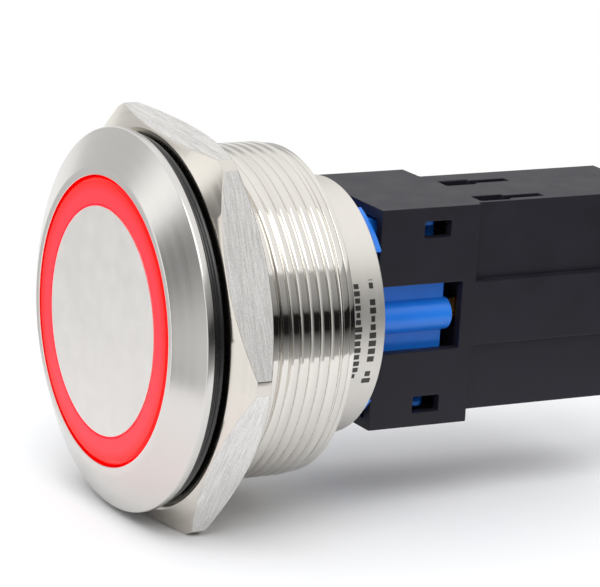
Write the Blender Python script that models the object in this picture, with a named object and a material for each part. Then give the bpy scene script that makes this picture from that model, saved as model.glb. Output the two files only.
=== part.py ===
"""Illuminated industrial push button for a 30 mm panel hole, with its nut, switch block and plug connector.

The button's axis is Y: the cap faces -Y, +Z is up, and the origin is on the axis at the panel seat, the
flat back of the head. Every length is in metres.
"""

import math

import bmesh
import bpy
from mathutils import Matrix

MM = 0.001

# ---- driving dimensions -------------------------------------------------------------------------

# gaps between pieces
REST_GAP = 0.3 * MM             # between a piece and the neighbour that it rests on
SLIDE_GAP = 0.2 * MM            # around a piece that slides or is pushed into a bore

# threaded barrel and its head
THREAD_D = 30.0 * MM            # outside diameter of the thread, the size of the panel hole
THREAD_PITCH = 1.0 * MM
THREAD_DEPTH = 0.42 * MM
THREAD_CREST_W = 0.52 * MM      # flat crest, with narrow grooves between the turns
THREAD_LEN = 14.8 * MM          # from the panel seat to the end of the thread's chamfer
THREAD_CHAMFER = 0.7 * MM
THREAD_RELIEF = 0.6 * MM        # plain undercut between the head and the first turn
SEAT_W = 2.0 * MM               # how far the head stands out past the thread
HEAD_H = 2.35 * MM              # head height, from the seat to the front plane
HEAD_EDGE_H = 0.65 * MM         # straight edge under the head's cone
HEAD_RIM_W = 0.65 * MM          # narrow flat rim outside the light ring
BARREL_WALL = 2.15 * MM         # thread crest to bore
FLOOR_T = 1.2 * MM              # shoulder at the back of the wide bore
TAIL_D = 23.4 * MM              # plain barrel behind the thread
TAIL_LEN = 4.9 * MM
TAIL_WALL = 1.2 * MM
TAIL_CHAMFER = 0.25 * MM

# seal and nut
SEAL_T = 1.05 * MM
SEAL_GAP = 0.2 * MM
SEAL_INSET = 0.55 * MM          # how far the seal stays inside the head's edge
NUT_T = 4.2 * MM
NUT_WALL = 2.1 * MM             # thread crest to the middle of a flat
NUT_CORNER_CUT = 0.35 * MM      # what the turned corners lose
NUT_FACE_INSET = 0.15 * MM      # the end face's circle inside the flats
NUT_CHAMFER_DEG = 30.0
NUT_TURN_DEG = 3.5              # first flat's normal, from +Z towards +X

# cap, light ring and stem
RING_W = 2.3 * MM
CAP_FACE_T = 1.2 * MM
CAP_SKIRT_T = 1.8 * MM
PRESS_TRAVEL = 2.5 * MM
STEM_D = 4.8 * MM
STEM_NECK_D = 2.4 * MM
STEM_TIP = 0.65 * MM            # how far the neck stands out of the driver
BOSS_WALL = 0.85 * MM
BOSS_L = 2.0 * MM
ORING_D = 0.84 * MM
ORING_DROP = 1.2 * MM           # from the cap's inner face to the ring's middle
CLIP_T = 0.35 * MM
CLIP_LEAD = 0.15 * MM           # from the driver's rear to the clip
CLIP_GROOVE = 0.4 * MM          # depth of the clip's groove in the neck

# light board and guide
BOARD_T = 1.0 * MM
BOARD_HOLE_D = 12.0 * MM
LED_COUNT = 4
LED_SIDE = 1.4 * MM
LED_H = 0.6 * MM
LED_INSET = 1.3 * MM            # from the wide bore to the middle of a light source
GUIDE_T = 1.4 * MM
SLEEVE_WALL = 1.5 * MM
LEAD_D = 0.7 * MM
LEAD_INSET = 1.9 * MM           # from the sleeve's bore to the leads
LEAD_Z = 2.5 * MM
LEAD_OUT = 0.2 * MM             # lead's end outside the lamp pins' middle

# contact driver and rockers
DRIVER_T = 1.0 * MM
DRIVER_X = 4.0 * MM
DRIVER_Z_LOW = 1.8 * MM
DRIVER_Z_HIGH = 4.3 * MM
POLE_X = 2.6 * MM               # each pole's distance from the middle plane
ROCKER_W = 1.6 * MM
ROCKER_T = 0.5 * MM
ROCKER_ARM = 7.0 * MM
ROCKER_TILT_DEG = 4.8           # to each side of straight
AXLE_D = 0.8 * MM
AXLE_DROP = 2.7 * MM            # axle in front of the switch base's face
EYE_WALL = 0.45 * MM
CONTACT_Z = 6.2 * MM            # height of the outer contacts and pins
CONTACT_D = 2.2 * MM
CONTACT_T = 0.4 * MM
RIVET_D = 1.4 * MM
POST_T = 0.9 * MM
POST_CLEAR = 0.7 * MM           # from the lamp pins to the axle posts
POST_Z = 1.2 * MM
POLE_SPRING_Z = 3.2 * MM

# springs
RETURN_SPRING_D = 8.6 * MM
RETURN_SPRING_WIRE = 0.5 * MM
RETURN_SPRING_TURNS = 5
POLE_SPRING_D = 1.5 * MM
POLE_SPRING_WIRE = 0.2 * MM
POLE_SPRING_TURNS = 3

# switch base and pins
BASE_SEAT = 4.1 * MM            # how deep the base sits in the barrel
BASE_FLANGE_D = 21.6 * MM
BASE_FLANGE_T = 0.8 * MM
BASE_FLANGE_CUT_X = 4.2 * MM    # the flange is cut away to its four corners
BASE_FLANGE_CUT_Z = 6.8 * MM
BASE_BLOCK_L = 6.8 * MM         # block's end behind the plug's front edge
BASE_BLOCK_CLEAR = 1.2 * MM     # between the block's sides and the plug's
BASE_LEDGE_L = 7.8 * MM         # the wider middle part of the block
BASE_LEDGE_CLEAR = 0.4 * MM
BASE_LEDGE_Z = 4.2 * MM
BASE_RIB_D = 3.0 * MM
BASE_RIB_OUT = 0.6 * MM         # rib's middle outside the lamp pins'
BASE_RIB_DROP = 0.15 * MM       # rib's middle under the lamp pins'
BASE_RIB_L = 8.15 * MM          # side rib's end behind the plug's front edge
NOSE_L = 1.3 * MM
NOSE_H = 1.0 * MM
NOSE_TIP_H = 0.45 * MM
SNAP_RING_T = 0.8 * MM
SNAP_RING_W = 0.8 * MM
SNAP_RING_INSET = 0.7 * MM      # from the barrel's end to the ring
PIN_T = 0.5 * MM
PIN_W = 2.0 * MM
PIN_L = 5.9 * MM                # pin length past the plug's inner floor
LAMP_X = 4.7 * MM

# plug connector
PLUG_GAP = 1.7 * MM             # from the barrel's end to the plug's front edge
PLUG_X = 7.0 * MM               # half width
PLUG_Z = 10.2 * MM              # half height
PLUG_WALL = 1.0 * MM
PLUG_POCKET = 9.2 * MM
PLUG_COLLAR_L = 10.3 * MM
PLUG_REAR_OVERLAP = 0.8 * MM    # rear body inside the collar
PLUG_L = 29.6 * MM
PLUG_SIDE_STEP = 0.6 * MM       # rear body behind the collar's sides
PLUG_UNDER_STEP = 0.95 * MM     # rear body above the collar's underside
PLUG_NOTCH_Z = 3.1 * MM         # half height of the open notch in each side
NOTCH_LIP = 0.01 * MM           # notch's end in front of the pocket's floor
PLUG_RIB_Z = 3.0 * MM
PLUG_RIB_INSET = 0.02 * MM      # rib's side inside the collar's
PLUG_TOP_INSET = 0.04 * MM      # rear body's top under the collar's
PLUG_KEY_X = 4.1 * MM           # stepped-down top corner starts here
PLUG_KEY_DROP = 1.6 * MM
WINDOW_Y = 4.55 * MM            # behind the plug's front edge
WINDOW_L = 2.7 * MM
WINDOW_Z = 8.15 * MM
WINDOW_H = 1.5 * MM
TOP_SLOT_X = (-1.0 * MM, 5.0 * MM)
TOP_SLOT_W = 1.8 * MM
TOP_SLOT_L = 3.8 * MM
TOP_SLOT_NARROW_W = 1.0 * MM
TOP_SLOT_NARROW_L = 3.8 * MM
TOP_SLOT_DEPTH = 1.3 * MM
TOP_SLOT_START = 0.6 * MM       # behind the collar's end
TOP_SLOT_STEP = 0.1 * MM        # narrow part's floor above the wide part's
JOIN_OVERLAP = 0.5 * MM         # how far joined shapes reach into each other
CAVITY_CLEAR = 0.25 * MM
SOCKET_WALL = 0.2 * MM
SOCKET_CLEAR = 0.2 * MM
SOCKET_L = 13.0 * MM

SEGMENTS = 40
SMALL_SEGMENTS = 20

# ---- places worked out from the dimensions --------------------------------------------------------

THREAD_R = THREAD_D / 2
ROOT_R = THREAD_R - THREAD_DEPTH
HEAD_R = THREAD_R + SEAT_W
BORE_R = THREAD_R - BARREL_WALL
RING_R = BORE_R - SLIDE_GAP
RING_BORE_R = RING_R - RING_W
CAP_R = RING_BORE_R - SLIDE_GAP
STACK_R = BORE_R - SLIDE_GAP            # board, guide and sleeve in the wide bore
TAIL_R = TAIL_D / 2
TAIL_BORE_R = TAIL_R - TAIL_WALL
BASE_R = TAIL_BORE_R - SLIDE_GAP
AXLE_R = AXLE_D / 2
AXLE_BORE_R = AXLE_R + SLIDE_GAP / 2
EYE_R = AXLE_BORE_R + EYE_WALL

BARREL_END = THREAD_LEN + TAIL_LEN
FLOOR_Y = THREAD_LEN - FLOOR_T
NUT_FRONT = SEAL_T + 2 * SEAL_GAP
BASE_FRONT = BARREL_END - BASE_SEAT
AXLE_Y = BASE_FRONT - AXLE_DROP
DRIVER_REAR = AXLE_Y - EYE_R - REST_GAP - PRESS_TRAVEL
DRIVER_FRONT = DRIVER_REAR - DRIVER_T
GUIDE_REAR = DRIVER_FRONT - REST_GAP
GUIDE_FRONT = GUIDE_REAR - GUIDE_T
BOARD_REAR = GUIDE_FRONT - REST_GAP
BOARD_FRONT = BOARD_REAR - BOARD_T
LED_REAR = BOARD_FRONT - REST_GAP
RING_REAR = LED_REAR - LED_H - REST_GAP
FRONT_Y = -HEAD_H
CAP_INSIDE_Y = FRONT_Y + CAP_FACE_T
CAP_SKIRT_END = BOARD_FRONT - PRESS_TRAVEL - REST_GAP
SLEEVE_FRONT = GUIDE_REAR + REST_GAP
SLEEVE_REAR = FLOOR_Y - REST_GAP
SLEEVE_BORE_R = STACK_R - SLEEVE_WALL
ROCKER_TILT = math.radians(ROCKER_TILT_DEG)
CONTACT_REACH = ROCKER_T / 2 + CONTACT_T + CONTACT_Z * math.sin(ROCKER_TILT)
CONTACT_FRONT = AXLE_Y + CONTACT_REACH + REST_GAP

PLUG_FRONT = BARREL_END + PLUG_GAP
PLUG_FLOOR = PLUG_FRONT + PLUG_POCKET
PLUG_COLLAR_END = PLUG_FRONT + PLUG_COLLAR_L
PLUG_REAR = PLUG_FRONT + PLUG_L
PIN_END = PLUG_FLOOR + PIN_L
BLOCK_X = PLUG_X - PLUG_WALL - BASE_BLOCK_CLEAR
BLOCK_Z = PLUG_Z - PLUG_WALL - REST_GAP
BLOCK_END = PLUG_FRONT + BASE_BLOCK_L
LEDGE_X = PLUG_X - PLUG_WALL - BASE_LEDGE_CLEAR
LEDGE_END = PLUG_FRONT + BASE_LEDGE_L
FLANGE_FRONT = BARREL_END + REST_GAP
FLANGE_REAR = FLANGE_FRONT + BASE_FLANGE_T
POST_X = LAMP_X + PIN_T / 2 + POST_CLEAR
SOCKET_X = PIN_T / 2 + SOCKET_CLEAR + SOCKET_WALL
SOCKET_Z = PIN_W / 2 + SOCKET_CLEAR + SOCKET_WALL

COLOURS = {
    "steel": ((0.72, 0.70, 0.67), 0.28, 1.0),
    "steel_matte": ((0.78, 0.76, 0.73), 0.5, 0.6),
    "brass": ((0.80, 0.58, 0.25), 0.3, 1.0),
    "copper": ((0.72, 0.42, 0.28), 0.35, 1.0),
    "red_light": ((1.0, 0.03, 0.04), 0.25, 0.0),
    "black_rubber": ((0.02, 0.02, 0.02), 0.35, 0.0),
    "black_plastic": ((0.03, 0.03, 0.035), 0.5, 0.0),
    "blue_plastic": ((0.02, 0.16, 0.75), 0.35, 0.0),
    "white_plastic": ((0.85, 0.85, 0.82), 0.4, 0.0),
    "board_green": ((0.02, 0.22, 0.09), 0.4, 0.0),
}

# ---- modelling helpers ----------------------------------------------------------------------------


def clear_scene():
    for obj in list(bpy.data.objects):
        bpy.data.objects.remove(obj, do_unlink=True)


def material(name):
    """The named finish, made the first time it is asked for."""
    mat = bpy.data.materials.get(name)
    if mat is None:
        colour, roughness, metallic = COLOURS[name]
        mat = bpy.data.materials.new(name)
        mat.use_nodes = True
        shader = mat.node_tree.nodes["Principled BSDF"]
        shader.inputs["Base Color"].default_value = (*colour, 1.0)
        shader.inputs["Roughness"].default_value = roughness
        shader.inputs["Metallic"].default_value = metallic
    return mat


def add(name, data, finish, parent=None, origin=(0, 0, 0), turn_x=0.0):
    obj = bpy.data.objects.new(name, data)
    bpy.context.collection.objects.link(obj)
    data.materials.append(material(finish))
    obj.location = origin
    obj.rotation_euler = (turn_x, 0, 0)
    obj.parent = parent
    return obj


def mesh_from(name, bm):
    bmesh.ops.recalc_face_normals(bm, faces=bm.faces)
    mesh = bpy.data.meshes.new(name)
    bm.to_mesh(mesh)
    bm.free()
    return mesh


def lathe_mesh(name, profile, segments=SEGMENTS):
    """Turns a closed outline of (radius, y) points about the Y axis; points on the axis become poles."""
    bm = bmesh.new()
    rings = []
    for radius, y in profile:
        if radius <= 0:
            rings.append([bm.verts.new((0, y, 0))])
            continue
        angles = [2 * math.pi * i / segments for i in range(segments)]
        rings.append([bm.verts.new((radius * math.sin(a), y, radius * math.cos(a))) for a in angles])
    for this, after in zip(rings, rings[1:] + rings[:1]):
        if len(this) == 1 and len(after) == 1:
            continue
        for i in range(segments):
            corners = [this[i % len(this)], this[(i + 1) % len(this)]]
            corners += [after[(i + 1) % len(after)], after[i % len(after)]]
            bm.faces.new(list(dict.fromkeys(corners)))
    mesh = mesh_from(name, bm)
    mesh.shade_smooth()
    mesh.set_sharp_from_angle(angle=math.radians(30))
    return mesh


def block_mesh(name, x, y, z):
    """A rectangular block between two values on each axis."""
    bm = bmesh.new()
    bmesh.ops.create_cube(bm, size=1.0)
    for vert in bm.verts:
        for axis, (low, high) in enumerate((x, y, z)):
            vert.co[axis] = low if vert.co[axis] < 0 else high
    return mesh_from(name, bm)


def rod_mesh(name, radius, start, end, axis, centre=(0, 0), segments=SMALL_SEGMENTS):
    """A straight rod along X or Y; centre is its place on the other two axes."""
    bm = bmesh.new()
    bmesh.ops.create_cone(bm, cap_ends=True, segments=segments, radius1=radius, radius2=radius, depth=end - start)
    middle = (start + end) / 2
    if axis == "X":
        place = Matrix.Translation((middle, *centre)) @ Matrix.Rotation(math.pi / 2, 4, "Y")
    else:
        place = Matrix.Translation((centre[0], middle, centre[1])) @ Matrix.Rotation(math.pi / 2, 4, "X")
    bmesh.ops.transform(bm, matrix=place, verts=bm.verts)
    return mesh_from(name, bm)


def prism_mesh(name, outline, y):
    """An outline of (x, z) points carried along Y."""
    bm = bmesh.new()
    front = [bm.verts.new((px, y[0], pz)) for px, pz in outline]
    back = [bm.verts.new((px, y[1], pz)) for px, pz in outline]
    bm.faces.new(front)
    bm.faces.new(back)
    for i in range(len(outline)):
        j = (i + 1) % len(outline)
        bm.faces.new((front[i], front[j], back[j], back[i]))
    return mesh_from(name, bm)


def combine(obj, tool_mesh, operation):
    """Applies one exact Boolean to obj and removes the tool."""
    tool = bpy.data.objects.new("tool", tool_mesh)
    bpy.context.collection.objects.link(tool)
    tool.location = obj.location
    tool.rotation_euler = obj.rotation_euler
    modifier = obj.modifiers.new("shape", "BOOLEAN")
    modifier.operation = operation
    modifier.solver = "EXACT"
    modifier.object = tool
    bpy.context.view_layer.update()
    with bpy.context.temp_override(object=obj, active_object=obj, selected_objects=[obj]):
        bpy.ops.object.modifier_apply(modifier=modifier.name)
    bpy.data.objects.remove(tool, do_unlink=True)


def join(obj, tool_mesh):
    combine(obj, tool_mesh, "UNION")


def cut(obj, tool_mesh):
    combine(obj, tool_mesh, "DIFFERENCE")


def wire(name, points, diameter, finish, parent=None, sides=1):
    """A round wire through the given points, with closed ends."""
    curve = bpy.data.curves.new(name, "CURVE")
    curve.dimensions = "3D"
    curve.bevel_depth = diameter / 2
    curve.bevel_resolution = sides
    curve.use_fill_caps = True
    spline = curve.splines.new("POLY")
    spline.points.add(len(points) - 1)
    for point, place in zip(spline.points, points):
        point.co = (*place, 1.0)
    return add(name, curve, finish, parent)


def coil(name, centre, diameter, wire_d, turns, start, end, finish, parent=None):
    """A compression spring along Y; its wire's middle runs from start to end."""
    steps = 14 if wire_d > 0.4 * MM else 10
    points = []
    for i in range(turns * steps + 1):
        angle = 2 * math.pi * i / steps
        share = i / (turns * steps)
        x = centre[0] + diameter / 2 * math.cos(angle)
        z = centre[1] + diameter / 2 * math.sin(angle)
        points.append((x, start + share * (end - start), z))
    return wire(name, points, wire_d, finish, parent)


def carrier(name, place=(0, 0, 0)):
    """An empty on a joint's axis, parent of the pieces that move together."""
    empty = bpy.data.objects.new(name, None)
    bpy.context.collection.objects.link(empty)
    empty.location = place
    return empty


# ---- barrel, seal and nut --------------------------------------------------------------------------


def barrel_housing():
    """Head, threaded barrel and plain tail in one turned piece, with a groove for the snap ring."""
    profile = [(BORE_R, FRONT_Y), (BORE_R + HEAD_RIM_W, FRONT_Y), (HEAD_R, -HEAD_EDGE_H), (HEAD_R, 0)]
    profile += [(ROOT_R, 0), (ROOT_R, THREAD_RELIEF)]
    turns = int((THREAD_LEN - THREAD_CHAMFER - THREAD_RELIEF) / THREAD_PITCH)
    for turn in range(turns):
        crest = THREAD_RELIEF + (turn + 0.5) * THREAD_PITCH
        flat = THREAD_CREST_W / 2
        profile += [(THREAD_R, crest - flat), (THREAD_R, crest + flat)]
        profile += [(ROOT_R, crest + THREAD_PITCH / 2)]
    thread_end = THREAD_RELIEF + turns * THREAD_PITCH
    profile += [(THREAD_R - THREAD_DEPTH / 3, thread_end + THREAD_PITCH / 3), (ROOT_R, THREAD_LEN)]
    profile += [(TAIL_R, THREAD_LEN), (TAIL_R, BARREL_END - TAIL_CHAMFER)]
    profile += [(TAIL_R - TAIL_CHAMFER, BARREL_END), (TAIL_BORE_R, BARREL_END)]
    groove_rear = BARREL_END - SNAP_RING_INSET + SLIDE_GAP
    groove_front = groove_rear - SNAP_RING_T - 2 * SLIDE_GAP
    groove_r = TAIL_BORE_R + SNAP_RING_W / 2
    profile += [(TAIL_BORE_R, groove_rear), (groove_r, groove_rear)]
    profile += [(groove_r, groove_front), (TAIL_BORE_R, groove_front)]
    profile += [(TAIL_BORE_R, FLOOR_Y), (BORE_R, FLOOR_Y)]
    add("barrel_housing", lathe_mesh("barrel_housing", profile), "steel")


def snap_ring():
    """Ring that keeps the switch base in the barrel, half in the barrel's groove and half in the base's."""
    rear = BARREL_END - SNAP_RING_INSET
    front = rear - SNAP_RING_T
    inner = BASE_R - SNAP_RING_W / 2 + SLIDE_GAP / 2
    outer = TAIL_BORE_R + SNAP_RING_W / 2 - SLIDE_GAP
    profile = [(inner, front), (outer, front), (outer, rear), (inner, rear)]
    add("base_snap_ring", lathe_mesh("base_snap_ring", profile), "steel")


def panel_seal():
    """Rubber ring under the head, with rounded edges."""
    inner, outer = THREAD_R + SLIDE_GAP, HEAD_R - SEAL_INSET
    front, rear = SEAL_GAP, SEAL_GAP + SEAL_T
    edge = SEAL_T / 4
    profile = [(inner, front), (outer - edge, front), (outer, front + edge)]
    profile += [(outer, rear - edge), (outer - edge, rear), (inner, rear)]
    add("panel_seal", lathe_mesh("panel_seal", profile), "black_rubber")


def hex_nut(parent):
    """Hexagon nut, its corners turned to 30 degree chamfers on both faces."""
    half_flats = THREAD_R + NUT_WALL
    corner_r = half_flats / math.cos(math.pi / 6) - NUT_CORNER_CUT
    face_r = half_flats - NUT_FACE_INSET
    bore_r = THREAD_R + SLIDE_GAP
    slope = (corner_r - face_r) * math.tan(math.radians(NUT_CHAMFER_DEG))
    rear = NUT_FRONT + NUT_T
    profile = [(bore_r, NUT_FRONT), (face_r, NUT_FRONT), (corner_r, NUT_FRONT + slope)]
    profile += [(corner_r, rear - slope), (face_r, rear), (bore_r, rear)]
    nut = add("hex_nut", lathe_mesh("hex_nut", profile, 60), "steel", parent)
    sharp_r = half_flats / math.cos(math.pi / 6)
    first_corner = math.radians(NUT_TURN_DEG - 30)
    corners = [first_corner + i * math.pi / 3 for i in range(6)]
    outline = [(sharp_r * math.sin(a), sharp_r * math.cos(a)) for a in corners]
    combine(nut, prism_mesh("hexagon", outline, (NUT_FRONT - MM, rear + MM)), "INTERSECT")


# ---- light and its board ----------------------------------------------------------------------------


def light_ring():
    """Clear sleeve flush with the head, which guides the cap and carries light to the front."""
    profile = [(RING_BORE_R, FRONT_Y), (RING_R, FRONT_Y), (RING_R, RING_REAR), (RING_BORE_R, RING_REAR)]
    add("light_ring", lathe_mesh("light_ring", profile), "red_light")


def led_board():
    """Ring board, its light sources facing the back of the light ring."""
    inner = BOARD_HOLE_D / 2
    profile = [(inner, BOARD_FRONT), (STACK_R, BOARD_FRONT), (STACK_R, BOARD_REAR), (inner, BOARD_REAR)]
    add("led_board", lathe_mesh("led_board", profile), "board_green")
    for i in range(LED_COUNT):
        angle = math.pi / 4 + 2 * math.pi * i / LED_COUNT
        half = LED_SIDE / 2
        mesh = block_mesh("led", (-half, half), (LED_REAR - LED_H, LED_REAR), (-half, half))
        radius = BORE_R - LED_INSET
        led = add(f"led_{i + 1}", mesh, "white_plastic")
        led.location = (radius * math.sin(angle), 0, radius * math.cos(angle))
        led.rotation_euler = (0, angle, 0)


def lamp_lead(name, side):
    """Insulated lead from the board, through the guide and past the rockers, to the switch base."""
    outer_x = SLEEVE_BORE_R - LEAD_INSET
    inner_x = LAMP_X + LEAD_OUT
    bend_start, bend_end = AXLE_Y - MM, BASE_FRONT - REST_GAP
    points = [(side * outer_x, BOARD_REAR + REST_GAP / 2, side * LEAD_Z)]
    steps = 10
    for i in range(steps + 1):
        share = i / steps
        ease = share * share * (3 - 2 * share)
        x = outer_x + (inner_x - outer_x) * ease
        points.append((side * x, bend_start + share * (bend_end - bend_start), side * LEAD_Z))
    wire(name, points, LEAD_D, "black_rubber", sides=2)


# ---- press action -----------------------------------------------------------------------------------


def actuator_cap(parent):
    """Pressed face with a skirt that slides in the light ring, and a boss for the stem."""
    inner = CAP_R - CAP_SKIRT_T
    groove_y = CAP_INSIDE_Y + ORING_DROP
    groove_half = ORING_D / 2 + SLIDE_GAP / 2
    groove_r = CAP_R - ORING_D + SLIDE_GAP / 2
    boss_bore = STEM_D / 2 + SLIDE_GAP / 2
    boss_end = CAP_INSIDE_Y + BOSS_L
    profile = [(0, FRONT_Y), (CAP_R, FRONT_Y), (CAP_R, groove_y - groove_half)]
    profile += [(groove_r, groove_y - groove_half), (groove_r, groove_y + groove_half)]
    profile += [(CAP_R, groove_y + groove_half), (CAP_R, CAP_SKIRT_END), (inner, CAP_SKIRT_END)]
    profile += [(inner, CAP_INSIDE_Y), (boss_bore + BOSS_WALL, CAP_INSIDE_Y), (boss_bore + BOSS_WALL, boss_end)]
    profile += [(boss_bore, boss_end), (boss_bore, CAP_INSIDE_Y), (0, CAP_INSIDE_Y)]
    add("actuator_cap", lathe_mesh("actuator_cap", profile), "steel_matte", parent)


def cap_seal(parent):
    """O-ring in the cap's groove."""
    y = CAP_INSIDE_Y + ORING_DROP
    tube = ORING_D / 2
    middle = RING_BORE_R - SLIDE_GAP / 2 - tube
    steps = 8
    turns = [2 * math.pi * i / steps for i in range(steps)]
    profile = [(middle + tube * math.cos(a), y + tube * math.sin(a)) for a in turns]
    add("cap_seal", lathe_mesh("cap_seal", profile), "black_rubber", parent)


def actuator_stem(parent):
    """Stem from the cap to the contact driver, with a shoulder and a grooved neck."""
    stem_r, neck_r = STEM_D / 2, STEM_NECK_D / 2
    shoulder = DRIVER_FRONT - SLIDE_GAP
    tip = DRIVER_REAR + STEM_TIP
    groove_front = DRIVER_REAR + SLIDE_GAP / 2
    groove_rear = groove_front + CLIP_T + SLIDE_GAP / 2
    groove_r = neck_r - CLIP_GROOVE
    profile = [(0, CAP_INSIDE_Y + SLIDE_GAP), (stem_r, CAP_INSIDE_Y + SLIDE_GAP), (stem_r, shoulder)]
    profile += [(neck_r, shoulder), (neck_r, groove_front), (groove_r, groove_front)]
    profile += [(groove_r, groove_rear), (neck_r, groove_rear), (neck_r, tip), (0, tip)]
    add("actuator_stem", lathe_mesh("actuator_stem", profile, 24), "white_plastic", parent)


def stem_clip(parent):
    """Clip in the neck's groove, behind the driver; it passes between the rockers."""
    front = DRIVER_REAR + CLIP_LEAD
    inner = STEM_NECK_D / 2 - CLIP_GROOVE + SLIDE_GAP / 2
    outer = POLE_X - ROCKER_W / 2 - SLIDE_GAP
    profile = [(inner, front), (outer, front), (outer, front + CLIP_T), (inner, front + CLIP_T)]
    add("stem_clip", lathe_mesh("stem_clip", profile, 24), "steel", parent)


def contact_driver(parent):
    """Plate on the stem's neck that pushes both poles; its front stops on the guide."""
    mesh = block_mesh("contact_driver", (-DRIVER_X, DRIVER_X), (DRIVER_FRONT, DRIVER_REAR),
                      (-DRIVER_Z_LOW, DRIVER_Z_HIGH))
    driver = add("contact_driver", mesh, "white_plastic", parent)
    hole_r = STEM_NECK_D / 2 + SLIDE_GAP / 2
    cut(driver, rod_mesh("hole", hole_r, DRIVER_FRONT - MM, DRIVER_REAR + MM, "Y"))


def stem_guide():
    """Disc that guides the stem and carries the return spring's fixed end."""
    bore = STEM_D / 2 + SLIDE_GAP
    profile = [(bore, GUIDE_FRONT), (STACK_R, GUIDE_FRONT), (STACK_R, GUIDE_REAR), (bore, GUIDE_REAR)]
    guide = add("stem_guide", lathe_mesh("stem_guide", profile), "blue_plastic")
    for side in (-1, 1):
        place = (side * (SLEEVE_BORE_R - LEAD_INSET), side * LEAD_Z)
        cut(guide, rod_mesh("hole", LEAD_D / 2 + SLIDE_GAP, GUIDE_FRONT - MM, GUIDE_REAR + MM, "Y", place))


def inner_sleeve():
    """Spacer between the guide and the barrel's inner shoulder."""
    profile = [(SLEEVE_BORE_R, SLEEVE_FRONT), (STACK_R, SLEEVE_FRONT)]
    profile += [(STACK_R, SLEEVE_REAR), (SLEEVE_BORE_R, SLEEVE_REAR)]
    add("inner_sleeve", lathe_mesh("inner_sleeve", profile), "white_plastic")


def return_spring():
    half_wire = RETURN_SPRING_WIRE / 2
    start = CAP_INSIDE_Y + SLIDE_GAP + half_wire
    end = GUIDE_FRONT - SLIDE_GAP - half_wire
    coil("return_spring", (0, 0), RETURN_SPRING_D, RETURN_SPRING_WIRE, RETURN_SPRING_TURNS, start, end, "steel")


def pole_spring(name, side, parent):
    """Small spring that carries the driver's push to a rocker and takes up its overtravel."""
    half_wire = POLE_SPRING_WIRE / 2
    start = DRIVER_REAR + SLIDE_GAP + half_wire
    rocker_front = AXLE_Y - ROCKER_T / 2 - (POLE_SPRING_Z + POLE_SPRING_D / 2) * math.tan(ROCKER_TILT)
    end = rocker_front - SLIDE_GAP - half_wire
    centre = (side * POLE_X, POLE_SPRING_Z)
    coil(name, centre, POLE_SPRING_D, POLE_SPRING_WIRE, POLE_SPRING_TURNS, start, end, "steel", parent)


# ---- switch block -----------------------------------------------------------------------------------


def pin_places():
    """Every pin's name and its place: three in a column for each pole, and one beside each for the lamp."""
    places = []
    for pole, side in ((1, -1), (2, 1)):
        for role, height in (("nc", -CONTACT_Z), ("common", 0.0), ("no", CONTACT_Z)):
            places.append((f"{role}_{pole}", side * POLE_X, height))
    places.append(("lamp_minus", -LAMP_X, 0.0))
    places.append(("lamp_plus", LAMP_X, 0.0))
    return places


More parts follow.
